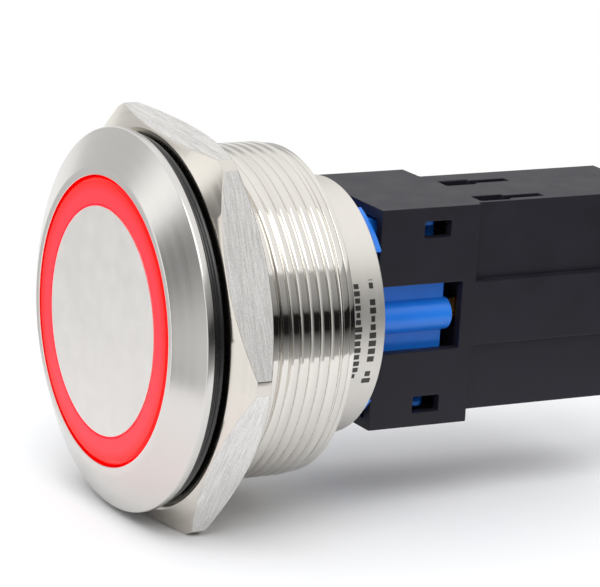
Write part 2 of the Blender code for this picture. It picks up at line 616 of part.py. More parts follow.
def switch_base():
    """Moulded block: a disc in the barrel, a flange, a rear block with side ribs, and posts for the axle."""
    ring_front = BARREL_END - SNAP_RING_INSET - SNAP_RING_T - SLIDE_GAP
    ring_rear = BARREL_END - SNAP_RING_INSET + SLIDE_GAP
    groove_r = BASE_R - SNAP_RING_W / 2
    profile = [(0, BASE_FRONT), (BASE_R, BASE_FRONT), (BASE_R, ring_front), (groove_r, ring_front)]
    profile += [(groove_r, ring_rear), (BASE_R, ring_rear), (BASE_R, FLANGE_FRONT)]
    profile += [(BASE_FLANGE_D / 2, FLANGE_FRONT), (BASE_FLANGE_D / 2, FLANGE_REAR), (0, FLANGE_REAR)]
    base = add("switch_base", lathe_mesh("switch_base", profile), "blue_plastic")
    root = BASE_FRONT + MM
    in_disc = FLANGE_FRONT - SLIDE_GAP / 2
    flange_y = (FLANGE_FRONT, FLANGE_REAR + MM)
    for side in (-1, 1):
        beyond_x = sorted((side * (BLOCK_X - SLIDE_GAP), side * BASE_FLANGE_D))
        beyond_z = sorted((side * (BLOCK_Z - SLIDE_GAP), side * BASE_FLANGE_D))
        cut(base, block_mesh("flange_cut", beyond_x, flange_y, (-BASE_FLANGE_CUT_Z, BASE_FLANGE_CUT_Z)))
        cut(base, block_mesh("flange_cut", (-BASE_FLANGE_CUT_X, BASE_FLANGE_CUT_X), flange_y, beyond_z))
    join(base, block_mesh("block", (-BLOCK_X, BLOCK_X), (in_disc, BLOCK_END), (-BLOCK_Z, BLOCK_Z)))
    join(base, block_mesh("ledges", (-LEDGE_X, LEDGE_X), (in_disc, LEDGE_END), (-BASE_LEDGE_Z, BASE_LEDGE_Z)))
    rib_end = PLUG_FRONT + BASE_RIB_L
    rib_x = LAMP_X + BASE_RIB_OUT
    nose_start = PLUG_FRONT + WINDOW_Y + SLIDE_GAP
    nose_x = PLUG_X - PLUG_WALL - SLIDE_GAP
    nose_top = BLOCK_Z - SLIDE_GAP
    post_front = AXLE_Y - AXLE_BORE_R - EYE_WALL
    for side in (-1, 1):
        join(base, rod_mesh("rib", BASE_RIB_D / 2, in_disc, rib_end, "Y", (side * rib_x, -BASE_RIB_DROP)))
        post_x = sorted((side * POST_X, side * (POST_X + POST_T)))
        join(base, block_mesh("post", post_x, (post_front, root), (-POST_Z, POST_Z)))
        for up in (-1, 1):
            section = [(BLOCK_X - MM, nose_top), (nose_x, nose_top), (nose_x, nose_top - NOSE_TIP_H)]
            section += [(BLOCK_X, nose_top - NOSE_H), (BLOCK_X - MM, nose_top - NOSE_H)]
            outline = [(side * px, up * pz) for px, pz in section]
            join(base, prism_mesh("nose", outline, (nose_start, nose_start + NOSE_L)))
    reach = POST_X + POST_T + MM
    cut(base, rod_mesh("axle_bore", AXLE_BORE_R, -reach, reach, "X", (AXLE_Y, 0)))
    for _, x, z in pin_places():
        half_x, half_z = PIN_T / 2 + SLIDE_GAP, PIN_W / 2 + SLIDE_GAP
        cut(base, block_mesh("slot", (x - half_x, x + half_x), (BASE_FRONT - MM, rib_end + MM),
                             (z - half_z, z + half_z)))


def rocker_axle():
    reach = POST_X + POST_T
    add("rocker_axle", rod_mesh("rocker_axle", AXLE_R, -reach, reach, "X", (AXLE_Y, 0)), "steel")


def rocker(name, side):
    """Changeover contact on the axle: a strip with an eye and a contact rivet under each arm."""
    half_w = ROCKER_W / 2
    mesh = block_mesh(name, (-half_w, half_w), (-ROCKER_T / 2, ROCKER_T / 2), (-ROCKER_ARM, ROCKER_ARM))
    place = (side * POLE_X, AXLE_Y, 0)
    piece = add(name, mesh, "copper", origin=place, turn_x=ROCKER_TILT)
    join(piece, rod_mesh("eye", EYE_R, -half_w, half_w, "X"))
    for up in (-1, 1):
        rivet_end = ROCKER_T / 2 + CONTACT_T
        join(piece, rod_mesh("rivet", RIVET_D / 2, 0, rivet_end, "Y", (0, up * CONTACT_Z), 12))
    cut(piece, rod_mesh("bore", AXLE_BORE_R, -half_w - MM, half_w + MM, "X"))


def terminal(name, x, z):
    """Flat pin; the outer ones carry a fixed contact, and a common one reaches to its rocker's eye."""
    if name.startswith("common"):
        start = AXLE_Y + EYE_R + SLIDE_GAP
    elif name.startswith("lamp"):
        start = BASE_FRONT + SLIDE_GAP
    else:
        start = CONTACT_FRONT + CONTACT_T / 2
    half_t, half_w = PIN_T / 2, PIN_W / 2
    mesh = block_mesh(name, (x - half_t, x + half_t), (start, PIN_END), (z - half_w, z + half_w))
    pin = add(f"terminal_{name}", mesh, "brass")
    if z:
        head = rod_mesh("head", CONTACT_D / 2, CONTACT_FRONT, CONTACT_FRONT + CONTACT_T, "Y", (x, z), 12)
        join(pin, head)


# ---- plug connector ---------------------------------------------------------------------------------


def plug_outline():
    """The rear body's section: ribs on both sides, and one top corner stepped down as a key."""
    side = PLUG_X - PLUG_SIDE_STEP
    rib = PLUG_X - PLUG_RIB_INSET
    top = PLUG_Z - PLUG_TOP_INSET
    bottom = -PLUG_Z + PLUG_UNDER_STEP
    right = [(side, top), (side, PLUG_RIB_Z), (rib, PLUG_RIB_Z), (rib, -PLUG_RIB_Z), (side, -PLUG_RIB_Z)]
    left = [(-side, bottom), (-side, -PLUG_RIB_Z), (-rib, -PLUG_RIB_Z), (-rib, PLUG_RIB_Z)]
    left += [(-side, PLUG_RIB_Z), (-side, top - PLUG_KEY_DROP)]
    return right + [(side, bottom)] + left + [(-PLUG_KEY_X, top - PLUG_KEY_DROP), (-PLUG_KEY_X, top)]


def plug_housing(parent):
    """One moulding: a collar that slips over the switch block, and a rear body with a cavity for each pin."""
    mesh = block_mesh("plug_housing", (-PLUG_X, PLUG_X), (PLUG_FRONT, PLUG_COLLAR_END), (-PLUG_Z, PLUG_Z))
    plug = add("plug_housing", mesh, "black_plastic", parent)
    join(plug, prism_mesh("rear_body", plug_outline(), (PLUG_COLLAR_END - PLUG_REAR_OVERLAP, PLUG_REAR)))
    inner_x, inner_z = PLUG_X - PLUG_WALL, PLUG_Z - PLUG_WALL
    cut(plug, block_mesh("pocket", (-inner_x, inner_x), (PLUG_FRONT - MM, PLUG_FLOOR), (-inner_z, inner_z)))
    reach = PLUG_X + MM
    cut(plug, block_mesh("notch", (-reach, reach), (PLUG_FRONT - MM, PLUG_FLOOR - NOTCH_LIP),
                         (-PLUG_NOTCH_Z, PLUG_NOTCH_Z)))
    window_start = PLUG_FRONT + WINDOW_Y
    for up in (-1, 1):
        cut(plug, block_mesh("window", (-reach, reach), (window_start, window_start + WINDOW_L),
                             (up * WINDOW_Z - WINDOW_H / 2, up * WINDOW_Z + WINDOW_H / 2)))
    slot_floor = PLUG_Z - TOP_SLOT_DEPTH
    for x in TOP_SLOT_X:
        wide_end = PLUG_COLLAR_END + TOP_SLOT_L
        cut(plug, block_mesh("slot", (x - TOP_SLOT_W / 2, x + TOP_SLOT_W / 2),
                             (PLUG_COLLAR_END + TOP_SLOT_START, wide_end), (slot_floor, PLUG_Z + MM)))
        cut(plug, block_mesh("slot", (x - TOP_SLOT_NARROW_W / 2, x + TOP_SLOT_NARROW_W / 2),
                             (wide_end - JOIN_OVERLAP, wide_end + TOP_SLOT_NARROW_L),
                             (slot_floor + TOP_SLOT_STEP, PLUG_Z + MM)))
    half_x, half_z = SOCKET_X + CAVITY_CLEAR, SOCKET_Z + CAVITY_CLEAR
    for _, x, z in pin_places():
        cut(plug, block_mesh("cavity", (x - half_x, x + half_x), (PLUG_FLOOR - MM, PLUG_REAR + MM),
                             (z - half_z, z + half_z)))


def socket_contact(name, x, z, parent):
    """Folded socket in the plug that grips one pin."""
    start = PLUG_FLOOR + REST_GAP
    mesh = block_mesh(name, (x - SOCKET_X, x + SOCKET_X), (start, start + SOCKET_L), (z - SOCKET_Z, z + SOCKET_Z))
    piece = add(f"socket_{name}", mesh, "brass", parent)
    half_x, half_z = SOCKET_X - SOCKET_WALL, SOCKET_Z - SOCKET_WALL
    cut(piece, block_mesh("hollow", (x - half_x, x + half_x), (start - MM, start + SOCKET_L - 2 * SOCKET_WALL),
                          (z - half_z, z + half_z)))


# ---- assembly ---------------------------------------------------------------------------------------


def main():
    clear_scene()
    press = carrier("press_carrier")
    nut = carrier("nut_carrier")
    plug = carrier("plug_carrier")

    barrel_housing()
    snap_ring()
    panel_seal()
    hex_nut(nut)

    light_ring()
    led_board()
    lamp_lead("lamp_lead_plus", 1)
    lamp_lead("lamp_lead_minus", -1)

    actuator_cap(press)
    cap_seal(press)
    actuator_stem(press)
    stem_clip(press)
    contact_driver(press)
    stem_guide()
    inner_sleeve()
    return_spring()
    pole_spring("pole_spring_1", -1, press)
    pole_spring("pole_spring_2", 1, press)

    switch_base()
    rocker_axle()
    rocker("contact_rocker_1", -1)
    rocker("contact_rocker_2", 1)
    plug_housing(plug)
    for name, x, z in pin_places():
        terminal(name, x, z)
        socket_contact(name, x, z, plug)


main()
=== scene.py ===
"""Looks of an illuminated push button for a 30 mm panel hole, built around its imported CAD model.

The button's axis is Y: the cap faces -Y, +Z is up, and the origin is on the axis at the panel seat. Every
length is in metres. Pieces are modelled as by hand, from a primitive, edit-mode tools and modifiers.
"""

import math

import bmesh
import bpy
from mathutils import Matrix, Vector

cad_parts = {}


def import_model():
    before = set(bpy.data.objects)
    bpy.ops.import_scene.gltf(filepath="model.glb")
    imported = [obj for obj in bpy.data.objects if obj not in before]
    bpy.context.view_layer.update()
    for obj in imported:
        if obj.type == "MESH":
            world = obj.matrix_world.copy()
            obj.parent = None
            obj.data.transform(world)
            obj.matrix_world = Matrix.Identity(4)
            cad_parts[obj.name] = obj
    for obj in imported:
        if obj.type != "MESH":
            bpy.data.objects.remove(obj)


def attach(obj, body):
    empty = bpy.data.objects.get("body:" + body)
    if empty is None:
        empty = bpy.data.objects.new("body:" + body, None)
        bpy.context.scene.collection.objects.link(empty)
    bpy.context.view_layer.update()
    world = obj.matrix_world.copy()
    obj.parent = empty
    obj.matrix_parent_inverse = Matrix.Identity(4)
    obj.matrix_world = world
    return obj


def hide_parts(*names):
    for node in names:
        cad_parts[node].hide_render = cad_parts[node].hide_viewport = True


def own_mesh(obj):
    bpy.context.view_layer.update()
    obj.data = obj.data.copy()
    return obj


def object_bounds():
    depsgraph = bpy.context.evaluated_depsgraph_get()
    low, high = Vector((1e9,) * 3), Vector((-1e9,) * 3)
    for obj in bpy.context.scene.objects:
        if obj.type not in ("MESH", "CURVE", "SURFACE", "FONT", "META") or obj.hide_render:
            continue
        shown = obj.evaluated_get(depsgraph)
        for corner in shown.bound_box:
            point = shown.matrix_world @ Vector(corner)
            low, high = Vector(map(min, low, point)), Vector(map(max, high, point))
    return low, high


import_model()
cad_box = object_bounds()

MM = 0.001

# ---- the dimensions that the pieces share with the CAD model ---------------------------------------

THREAD_R = 15.0 * MM
ROOT_R = 14.78 * MM
PITCH = 1.0 * MM
THREAD_END = 14.8 * MM
HEAD_R = 17.0 * MM
FRONT_Y = -2.35 * MM
BORE_R = 12.85 * MM
RIM_R = 13.5 * MM
RING_R = 12.65 * MM
RING_BORE_R = 10.35 * MM
RING_REAR = 3.95 * MM
CAP_R = 10.15 * MM
CAP_INSIDE_Y = -1.15 * MM
CAP_SKIRT_END = 2.35 * MM
FLOOR_Y = 13.6 * MM
TAIL_R = 11.7 * MM
TAIL_BORE_R = 10.5 * MM
GROOVE_FRONT = 18.0 * MM
GROOVE_REAR = 19.2 * MM
BARREL_END = 19.7 * MM
NUT_FRONT = 1.45 * MM
NUT_REAR = 5.65 * MM
NUT_HALF_FLATS = 17.1 * MM
NUT_CORNER_R = 19.395 * MM
NUT_FACE_R = 16.95 * MM
NUT_TURN = math.radians(3.5)
GUIDE_FRONT = 6.45 * MM
GUIDE_REAR = 7.85 * MM
BOARD_FRONT = 5.15 * MM
BOARD_REAR = 6.15 * MM
DRIVER_FRONT = 8.15 * MM
DRIVER_REAR = 9.15 * MM
AXLE_Y = 12.9 * MM
BASE_FRONT = 15.6 * MM
BASE_R = 10.3 * MM
FLANGE_FRONT = 20.0 * MM
FLANGE_REAR = 20.8 * MM
PLUG_FRONT = 21.4 * MM
PLUG_FLOOR = 30.6 * MM
COLLAR_END = 31.7 * MM
PLUG_REAR = 51.0 * MM
PLUG_X = 7.0 * MM
PLUG_Z = 10.2 * MM
PIN_END = 36.5 * MM
PIN_PLACES = {
    "nc_1": (-2.6 * MM, -6.2 * MM), "common_1": (-2.6 * MM, 0.0), "no_1": (-2.6 * MM, 6.2 * MM),
    "nc_2": (2.6 * MM, -6.2 * MM), "common_2": (2.6 * MM, 0.0), "no_2": (2.6 * MM, 6.2 * MM),
    "lamp_minus": (-4.7 * MM, 0.0), "lamp_plus": (4.7 * MM, 0.0),
}

MM_PER_METRE = 1000.0
MERGE = 0.0002 * MM     # vertices nearer than this are one
COAT_ROUGHNESS = 0.12

# ---- modelling by hand ------------------------------------------------------------------------------


def only(obj):
    """Selects obj alone and makes it active."""
    bpy.ops.object.select_all(action="DESELECT")
    obj.select_set(True)
    bpy.context.view_layer.objects.active = obj


def named(name):
    """Names the primitive just added and applies its place, so that its origin is the button's."""
    obj = bpy.context.object
    obj.name = obj.data.name = name
    bpy.ops.object.transform_apply(location=True, rotation=True, scale=True)
    return obj


def edit(obj, select="DESELECT", mode="VERT"):
    only(obj)
    bpy.ops.object.mode_set(mode="EDIT")
    bpy.ops.mesh.select_mode(type=mode)
    bpy.ops.mesh.select_all(action=select)


def leave_edit():
    bpy.ops.object.mode_set(mode="OBJECT")


def pick(obj, kind, test):
    """In edit mode, selects the elements of one kind that pass a test, and nothing else."""
    bpy.ops.mesh.select_all(action="DESELECT")
    mesh = bmesh.from_edit_mesh(obj.data)
    mesh.verts.ensure_lookup_table()
    for element in getattr(mesh, kind):
        if test(element):
            element.select_set(True)
    bmesh.update_edit_mesh(obj.data)


def draw(name, places):
    """A wire through the places, extruded from its first vertex; it is left in edit mode."""
    bpy.ops.object.select_all(action="DESELECT")
    bpy.ops.mesh.primitive_plane_add(size=MM, location=places[0])
    obj = named(name)
    edit(obj, "SELECT")
    bpy.ops.mesh.merge(type="CENTER")
    for here, there in zip(places, places[1:]):
        step = Vector(there) - Vector(here)
        bpy.ops.mesh.extrude_region_move(TRANSFORM_OT_translate={"value": step})
    return obj


def close_wire(obj, count):
    """Joins the wire's ends; the wire has five or more vertices, since four would be filled with a face."""
    pick(obj, "verts", lambda vert: vert.index in (0, count - 1))
    bpy.ops.mesh.edge_face_add()


def round_corners(obj, widths):
    """Rounds the wire's corners: widths gives each vertex's rounding, 0 for a sharp one."""
    places = [(obj_vert.co.copy(), width) for obj_vert, width in
              zip(bmesh.from_edit_mesh(obj.data).verts, widths) if width]
    for place, width in places:
        pick(obj, "verts", lambda vert: (vert.co - place).length < 1e-7)
        bpy.ops.mesh.bevel(offset=width, offset_type="OFFSET", segments=3, affect="VERTICES")


def turned(name, outline, steps=192):
    """Spins an outline of (radius, y) or (radius, y, corner rounding) points round the Y axis."""
    points = [(0, point[1], point[0]) for point in outline]
    obj = draw(name, points)
    if points[0][2] > 0 or points[-1][2] > 0:
        close_wire(obj, len(points))
    round_corners(obj, [point[2] if len(point) > 2 else 0 for point in outline])
    bpy.ops.mesh.select_all(action="SELECT")
    bpy.ops.mesh.spin(steps=steps, angle=2 * math.pi, center=(0, 0, 0), axis=(0, 1, 0), dupli=False)
    tidy_mesh()
    leave_edit()
    return obj


def tidy_mesh():
    """Merges doubles and points the faces outwards, in edit mode."""
    bpy.ops.mesh.select_all(action="SELECT")
    bpy.ops.mesh.remove_doubles(threshold=MERGE)
    bpy.ops.mesh.normals_make_consistent(inside=False)


def block(name, x, y, z):
    """A block between two values on each axis."""
    bpy.ops.object.select_all(action="DESELECT")
    middle = [(low + high) / 2 for low, high in (x, y, z)]
    size = [high - low for low, high in (x, y, z)]
    bpy.ops.mesh.primitive_cube_add(size=1, location=middle, scale=size)
    return named(name)


def rod(name, radius, y, centre=(0, 0), sides=48, radius_end=None):
    """A rod along Y, or a taper if its far end has another radius; centre is (x, z)."""
    bpy.ops.object.select_all(action="DESELECT")
    middle = (centre[0], (y[0] + y[1]) / 2, centre[1])
    bpy.ops.mesh.primitive_cone_add(vertices=sides, radius1=radius, radius2=radius_end or radius,
                                    depth=y[1] - y[0], location=middle, rotation=(-math.pi / 2, 0, 0))
    return named(name)


def rod_x(name, radius, x, centre, sides=48):
    """A rod along X; centre is (y, z)."""
    bpy.ops.object.select_all(action="DESELECT")
    middle = ((x[0] + x[1]) / 2, centre[0], centre[1])
    bpy.ops.mesh.primitive_cylinder_add(vertices=sides, radius=radius, depth=x[1] - x[0],
                                        location=middle, rotation=(0, math.pi / 2, 0))
    return named(name)


def prism(name, outline, y, rounding=0.0):
    """An outline of (x, z) points filled and extruded along Y, its long edges rounded."""
    obj = draw(name, [(x, y[0], z) for x, z in outline])
    close_wire(obj, len(outline))
    if rounding:
        round_corners(obj, [rounding] * len(outline))
    bpy.ops.mesh.select_all(action="SELECT")
    bpy.ops.mesh.edge_face_add()
    bpy.ops.mesh.extrude_region_move(TRANSFORM_OT_translate={"value": (0, y[1] - y[0], 0)})
    tidy_mesh()
    leave_edit()
    return obj


def modify(obj, kind, **settings):
    """Adds a modifier with its settings and applies it."""
    only(obj)
    bpy.ops.object.modifier_add(type=kind)
    modifier = obj.modifiers[-1]
    for key, value in settings.items():
        setattr(modifier, key, value)
    bpy.ops.object.modifier_apply(modifier=modifier.name)
    return obj


def combine(obj, tool, operation):
    """A Boolean with a tool, which is then removed."""
    modify(obj, "BOOLEAN", operation=operation, solver="EXACT", object=tool)
    bpy.data.objects.remove(tool, do_unlink=True)
    return obj


def join(obj, tool):
    return combine(obj, tool, "UNION")


def cut(obj, tool):
    return combine(obj, tool, "DIFFERENCE")


def soften(obj, width, segments=2, angle=32):
    """Bevels every edge sharper than the angle."""
    return modify(obj, "BEVEL", width=width, segments=segments, limit_method="ANGLE",
                  angle_limit=math.radians(angle), use_clamp_overlap=False, miter_outer="MITER_ARC")


def flatten_fans(obj):
    """Merges doubles and dissolves the flat edges that a Boolean leaves."""
    edit(obj, "SELECT")
    bpy.ops.mesh.remove_doubles(threshold=MERGE)
    bpy.ops.mesh.dissolve_limited(angle_limit=math.radians(0.5))
    leave_edit()
    return obj


def shade(obj, angle):
    """Smooth shading across edges flatter than the angle, with large faces kept flat."""
    only(obj)
    bpy.ops.object.shade_smooth_by_angle(angle=math.radians(angle))
    return modify(obj, "WEIGHTED_NORMAL", keep_sharp=True, weight=100)


def screwed(obj, pitch, turns, steps):
    """Sweeps a closed section along a right-handed helix about Y and closes its two ends."""
    modify(obj, "SCREW", axis="Y", screw_offset=pitch, iterations=turns, steps=steps, render_steps=steps,
           use_smooth_shade=False)
    edit(obj)
    bpy.ops.mesh.select_non_manifold()
    bpy.ops.mesh.fill_holes(sides=0)
    tidy_mesh()
    leave_edit()
    return obj


def coil(name, coil_d, wire_d, turns, y, centre=(0, 0), sides=12, steps=36):
    """A compression spring whose outer ends are at the two y values."""
    bpy.ops.object.select_all(action="DESELECT")
    start = y[0] + wire_d / 2
    bpy.ops.mesh.primitive_circle_add(vertices=sides, radius=wire_d / 2, location=(0, start, coil_d / 2),
                                      rotation=(0, math.pi / 2, 0))
    obj = screwed(named(name), (y[1] - y[0] - wire_d) / turns, turns, steps)
    edit(obj, "SELECT")
    bpy.ops.transform.translate(value=(centre[0], 0, centre[1]))
    leave_edit()
    return obj


def about(middle, half):
    """The two values that lie half a width from a middle."""
    return middle - half, middle + half


def place(obj, body, slot_name, *nodes):
    """Gives the finished piece its body and hides the CAD nodes that it stands for; slot_name is not used.
    """
    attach(obj, body)
    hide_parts(*nodes)
    return obj


def paint(obj, *materials):
    obj.data.materials.clear()
    for material in materials:
        obj.data.materials.append(material)


def paint_faces(obj, number, test):
    """Gives the faces that pass the test the material of that number."""
    for face in obj.data.polygons:
        if test(face):
            face.material_index = number


def finish(obj, material_name, body, slot_name, node, angle=30):
    """Paints and shades a piece of one material, gives it its body and hides its CAD node."""
    paint(obj, FINISH[material_name])
    return place(shade(obj, angle), body, slot_name, node)


# ---- shader node groups -----------------------------------------------------------------------------


def add_node(tree, kind, values=None, **settings):
    """A node with its settings, and the values of its unlinked inputs by name."""
    node = tree.nodes.new(kind)
    for key, value in settings.items():
        setattr(node, key, value)
    for key, value in (values or {}).items():
        node.inputs[key].default_value = value
    return node


def wire(tree, *pairs):
    """Links each pair's first socket to its second, or sets the second to a plain value."""
    for source, target in pairs:
        if isinstance(source, bpy.types.NodeSocket):
            tree.links.new(source, target)
        else:
            target.default_value = source


def calculator(tree):
    """A function that adds a Math node with those inputs, sockets or numbers, and gives its output."""
    def calc(operation, *values):
        node = add_node(tree, "ShaderNodeMath", operation=operation)
        wire(tree, *zip(values, node.inputs))
        return node.outputs[0]
    return calc


def object_axes(tree):
    """The object's coordinates, as one vector and as x, y and z."""
    coords = add_node(tree, "ShaderNodeTexCoord")
    split = add_node(tree, "ShaderNodeSeparateXYZ")
    wire(tree, (coords.outputs["Object"], split.inputs[0]))
    return coords.outputs["Object"], tuple(split.outputs)


def axis_distance(calc, x, z):
    """Distance from the Y axis."""
    return calc("SQRT", calc("ADD", calc("MULTIPLY", x, x), calc("MULTIPLY", z, z)))


def mix_colours(tree, share, first, second):
    """The first colour turned into the second by a share; a colour is a socket or four numbers."""
    node = add_node(tree, "ShaderNodeMix", data_type="RGBA", clamp_factor=True)
    ends = [socket for socket in node.inputs if socket.type == "RGBA"]
    wire(tree, (share, node.inputs[0]), (first, ends[0]), (second, ends[1]))
    return [socket for socket in node.outputs if socket.type == "RGBA"][0]


def new_group(name, inputs, outputs):
    """A shader node group with float inputs and their usual values, and the named outputs."""
    tree = bpy.data.node_groups.new(name, "ShaderNodeTree")
    for label, value in inputs.items():
        kind = "NodeSocketColor" if isinstance(value, tuple) else "NodeSocketFloat"
        socket = tree.interface.new_socket(name=label, in_out="INPUT", socket_type=kind)
        socket.default_value = value
    for label, kind in outputs.items():
        tree.interface.new_socket(name=label, in_out="OUTPUT", socket_type=kind)
    return tree, tree.nodes.new("NodeGroupInput"), tree.nodes.new("NodeGroupOutput")


def height_and_shade(tree, along, result, roughness, broad_scale):
    """Fills a group's height from a fine noise and its shade from a broader one."""
    fine = add_node(tree, "ShaderNodeTexNoise", {"Scale": 1.0, "Detail": 3.0, "Roughness": roughness})
    broad = add_node(tree, "ShaderNodeTexNoise", {"Scale": broad_scale, "Detail": 2.0})
    wire(tree, (along.outputs[0], fine.inputs["Vector"]), (along.outputs[0], broad.inputs["Vector"]),
         (fine.outputs["Fac"], result.inputs["Height"]), (broad.outputs["Fac"], result.inputs["Shade"]))


def turning_marks_group():
    """Fine rings cut round the Y axis: a height, and a slower shade that follows the same rings."""
    tree, given, result = new_group("turning_marks", {"Rings per mm": 9.0, "Waver": 0.02},
                                    {"Height": "NodeSocketFloat", "Shade": "NodeSocketFloat"})
    coords, (x, y, z) = object_axes(tree)
    calc = calculator(tree)
    slow = add_node(tree, "ShaderNodeTexNoise", {"Scale": 60.0, "Detail": 1.0})
    wire(tree, (coords, slow.inputs["Vector"]))
    waver = calc("MULTIPLY", slow.outputs["Fac"], calc("MULTIPLY", given.outputs["Waver"], MM))
    per_metre = calc("MULTIPLY", given.outputs["Rings per mm"], MM_PER_METRE)
    along = add_node(tree, "ShaderNodeCombineXYZ")
    radius = calc("ADD", axis_distance(calc, x, z), waver)
    wire(tree, (calc("MULTIPLY", radius, per_metre), along.inputs[0]),
         (calc("MULTIPLY", calc("ADD", y, waver), per_metre), along.inputs[1]))
    height_and_shade(tree, along, result, roughness=0.6, broad_scale=0.16)
    return tree


def grain_group():
    """An even fine grain with soft blotches over it, for blasted metal and moulded plastic."""
    tree, given, result = new_group("grain", {"Grains per mm": 6.0, "Blotches per mm": 0.3},
                                    {"Height": "NodeSocketFloat", "Blotch": "NodeSocketFloat"})
    coords, _ = object_axes(tree)
    calc = calculator(tree)
    fine = add_node(tree, "ShaderNodeTexNoise", {"Detail": 3.0, "Roughness": 0.55})
    soft = add_node(tree, "ShaderNodeTexNoise", {"Detail": 2.0, "Roughness": 0.5})
    wire(tree, (coords, fine.inputs["Vector"]), (coords, soft.inputs["Vector"]),
         (calc("MULTIPLY", given.outputs["Grains per mm"], MM_PER_METRE), fine.inputs["Scale"]),
         (calc("MULTIPLY", given.outputs["Blotches per mm"], MM_PER_METRE), soft.inputs["Scale"]),
         (fine.outputs["Fac"], result.inputs["Height"]), (soft.outputs["Fac"], result.inputs["Blotch"]))
    return tree


def vary_group():
    """A colour made a little darker and lighter by a mask."""
    tree, given, result = new_group("vary_colour", {"Dark": (0.5, 0.5, 0.5, 1), "Light": (0.8, 0.8, 0.8, 1),
                                                    "Mask": 0.5, "Contrast": 1.5},
                                    {"Colour": "NodeSocketColor"})
    calc = calculator(tree)
    centred = calc("SUBTRACT", given.outputs["Mask"], 0.5)
    spread = calc("ADD", calc("MULTIPLY", centred, given.outputs["Contrast"]), 0.5)
    mixed = mix_colours(tree, spread, given.outputs["Dark"], given.outputs["Light"])
    wire(tree, (mixed, result.inputs["Colour"]))
    return tree


def milling_marks_group():
    """Fine lines across the Y axis, as a milling cutter leaves on a flat, broken up along their length."""
    tree, given, result = new_group("milling_marks", {"Lines per mm": 7.0, "Breaks per mm": 0.5},
                                    {"Height": "NodeSocketFloat", "Shade": "NodeSocketFloat"})
    _, (x, y, z) = object_axes(tree)
    calc = calculator(tree)
    lines = calc("MULTIPLY", given.outputs["Lines per mm"], MM_PER_METRE)
    breaks = calc("MULTIPLY", given.outputs["Breaks per mm"], MM_PER_METRE)
    along = add_node(tree, "ShaderNodeCombineXYZ")
    for axis, scale, target in zip((x, y, z), (breaks, lines, breaks), along.inputs):
        wire(tree, (calc("MULTIPLY", axis, scale), target))
    height_and_shade(tree, along, result, roughness=0.65, broad_scale=0.3)
    return tree


TURNING = turning_marks_group()
MILLING = milling_marks_group()
GRAIN = grain_group()
VARY = vary_group()


# ---- materials --------------------------------------------------------------------------------------


def start_material(name, metallic=0.0, roughness=0.4, coat=0.0, specular=0.5):
    """A material with one Principled shader; gives the material, its tree and the shader."""
    material = bpy.data.materials.new(name)
    material.use_nodes = True
    tree = material.node_tree
    shader = tree.nodes["Principled BSDF"]
    for label, value in (("Metallic", metallic), ("Roughness", roughness), ("Coat Weight", coat),
                         ("Coat Roughness", COAT_ROUGHNESS), ("Specular IOR Level", specular)):
        shader.inputs[label].default_value = value
    return material, tree, shader


def use_group(tree, group, values=None):
    return add_node(tree, "ShaderNodeGroup", values, node_tree=group)


def colour_from(tree, shader, mask, dark, light, contrast=1.5):
    """Base colour between two colours by a mask."""
    node = use_group(tree, VARY, {"Dark": (*dark, 1), "Light": (*light, 1), "Contrast": contrast})
    wire(tree, (mask, node.inputs["Mask"]), (node.outputs["Colour"], shader.inputs["Base Color"]))


def roughness_from(tree, shader, mask, low, high):
    """Roughness between two values, over the middle part of a mask where most of a noise lies."""
    node = add_node(tree, "ShaderNodeMapRange",
                    {"From Min": 0.3, "From Max": 0.7, "To Min": low, "To Max": high})
    wire(tree, (mask, node.inputs["Value"]), (node.outputs[0], shader.inputs["Roughness"]))


def bump_from(tree, shader, height, depth):
    """Bump of that depth, in metres, from a height of 0 to 1."""
    node = add_node(tree, "ShaderNodeBump", {"Strength": 1.0, "Distance": depth})
    wire(tree, (height, node.inputs["Height"]), (node.outputs["Normal"], shader.inputs["Normal"]))


def turned_metal(name, dark, light, rough, rings=9.0, depth=0.002 * MM):
    """Metal with rings cut round the button's axis."""
    material, tree, shader = start_material(name, metallic=1.0)
    marks = use_group(tree, TURNING, {"Rings per mm": rings, "Waver": 0.05})
    colour_from(tree, shader, marks.outputs["Shade"], dark, light)
    roughness_from(tree, shader, marks.outputs["Shade"], *rough)
    bump_from(tree, shader, marks.outputs["Height"], depth)
    return material


def grained(name, dark, light, rough, grains=6.0, blotches=0.3, depth=0.004 * MM, metallic=0.0, coat=0.0,
            contrast=1.5, specular=0.5):
    """Blasted metal or moulded plastic: an even grain under soft blotches."""
    material, tree, shader = start_material(name, metallic=metallic, coat=coat, specular=specular)
    grain = use_group(tree, GRAIN, {"Grains per mm": grains, "Blotches per mm": blotches})
    colour_from(tree, shader, grain.outputs["Blotch"], dark, light, contrast)
    roughness_from(tree, shader, grain.outputs["Blotch"], *rough)
    bump_from(tree, shader, grain.outputs["Height"], depth)
    return material


PRINT_MIDDLE, PRINT_HALF_ARC = 88.0, 23.5      # degrees from +Z towards +X
PRINT_ROWS = ((16.9 * MM, 3.1), (18.4 * MM, 3.6))   # place along Y and degrees for each dash
PRINT_GAP = 0.28        # share of a dash's place left bare
PRINT_MISSING = 0.22    # share of the dashes left out
PRINT_INK = (0.09, 0.085, 0.08, 1)


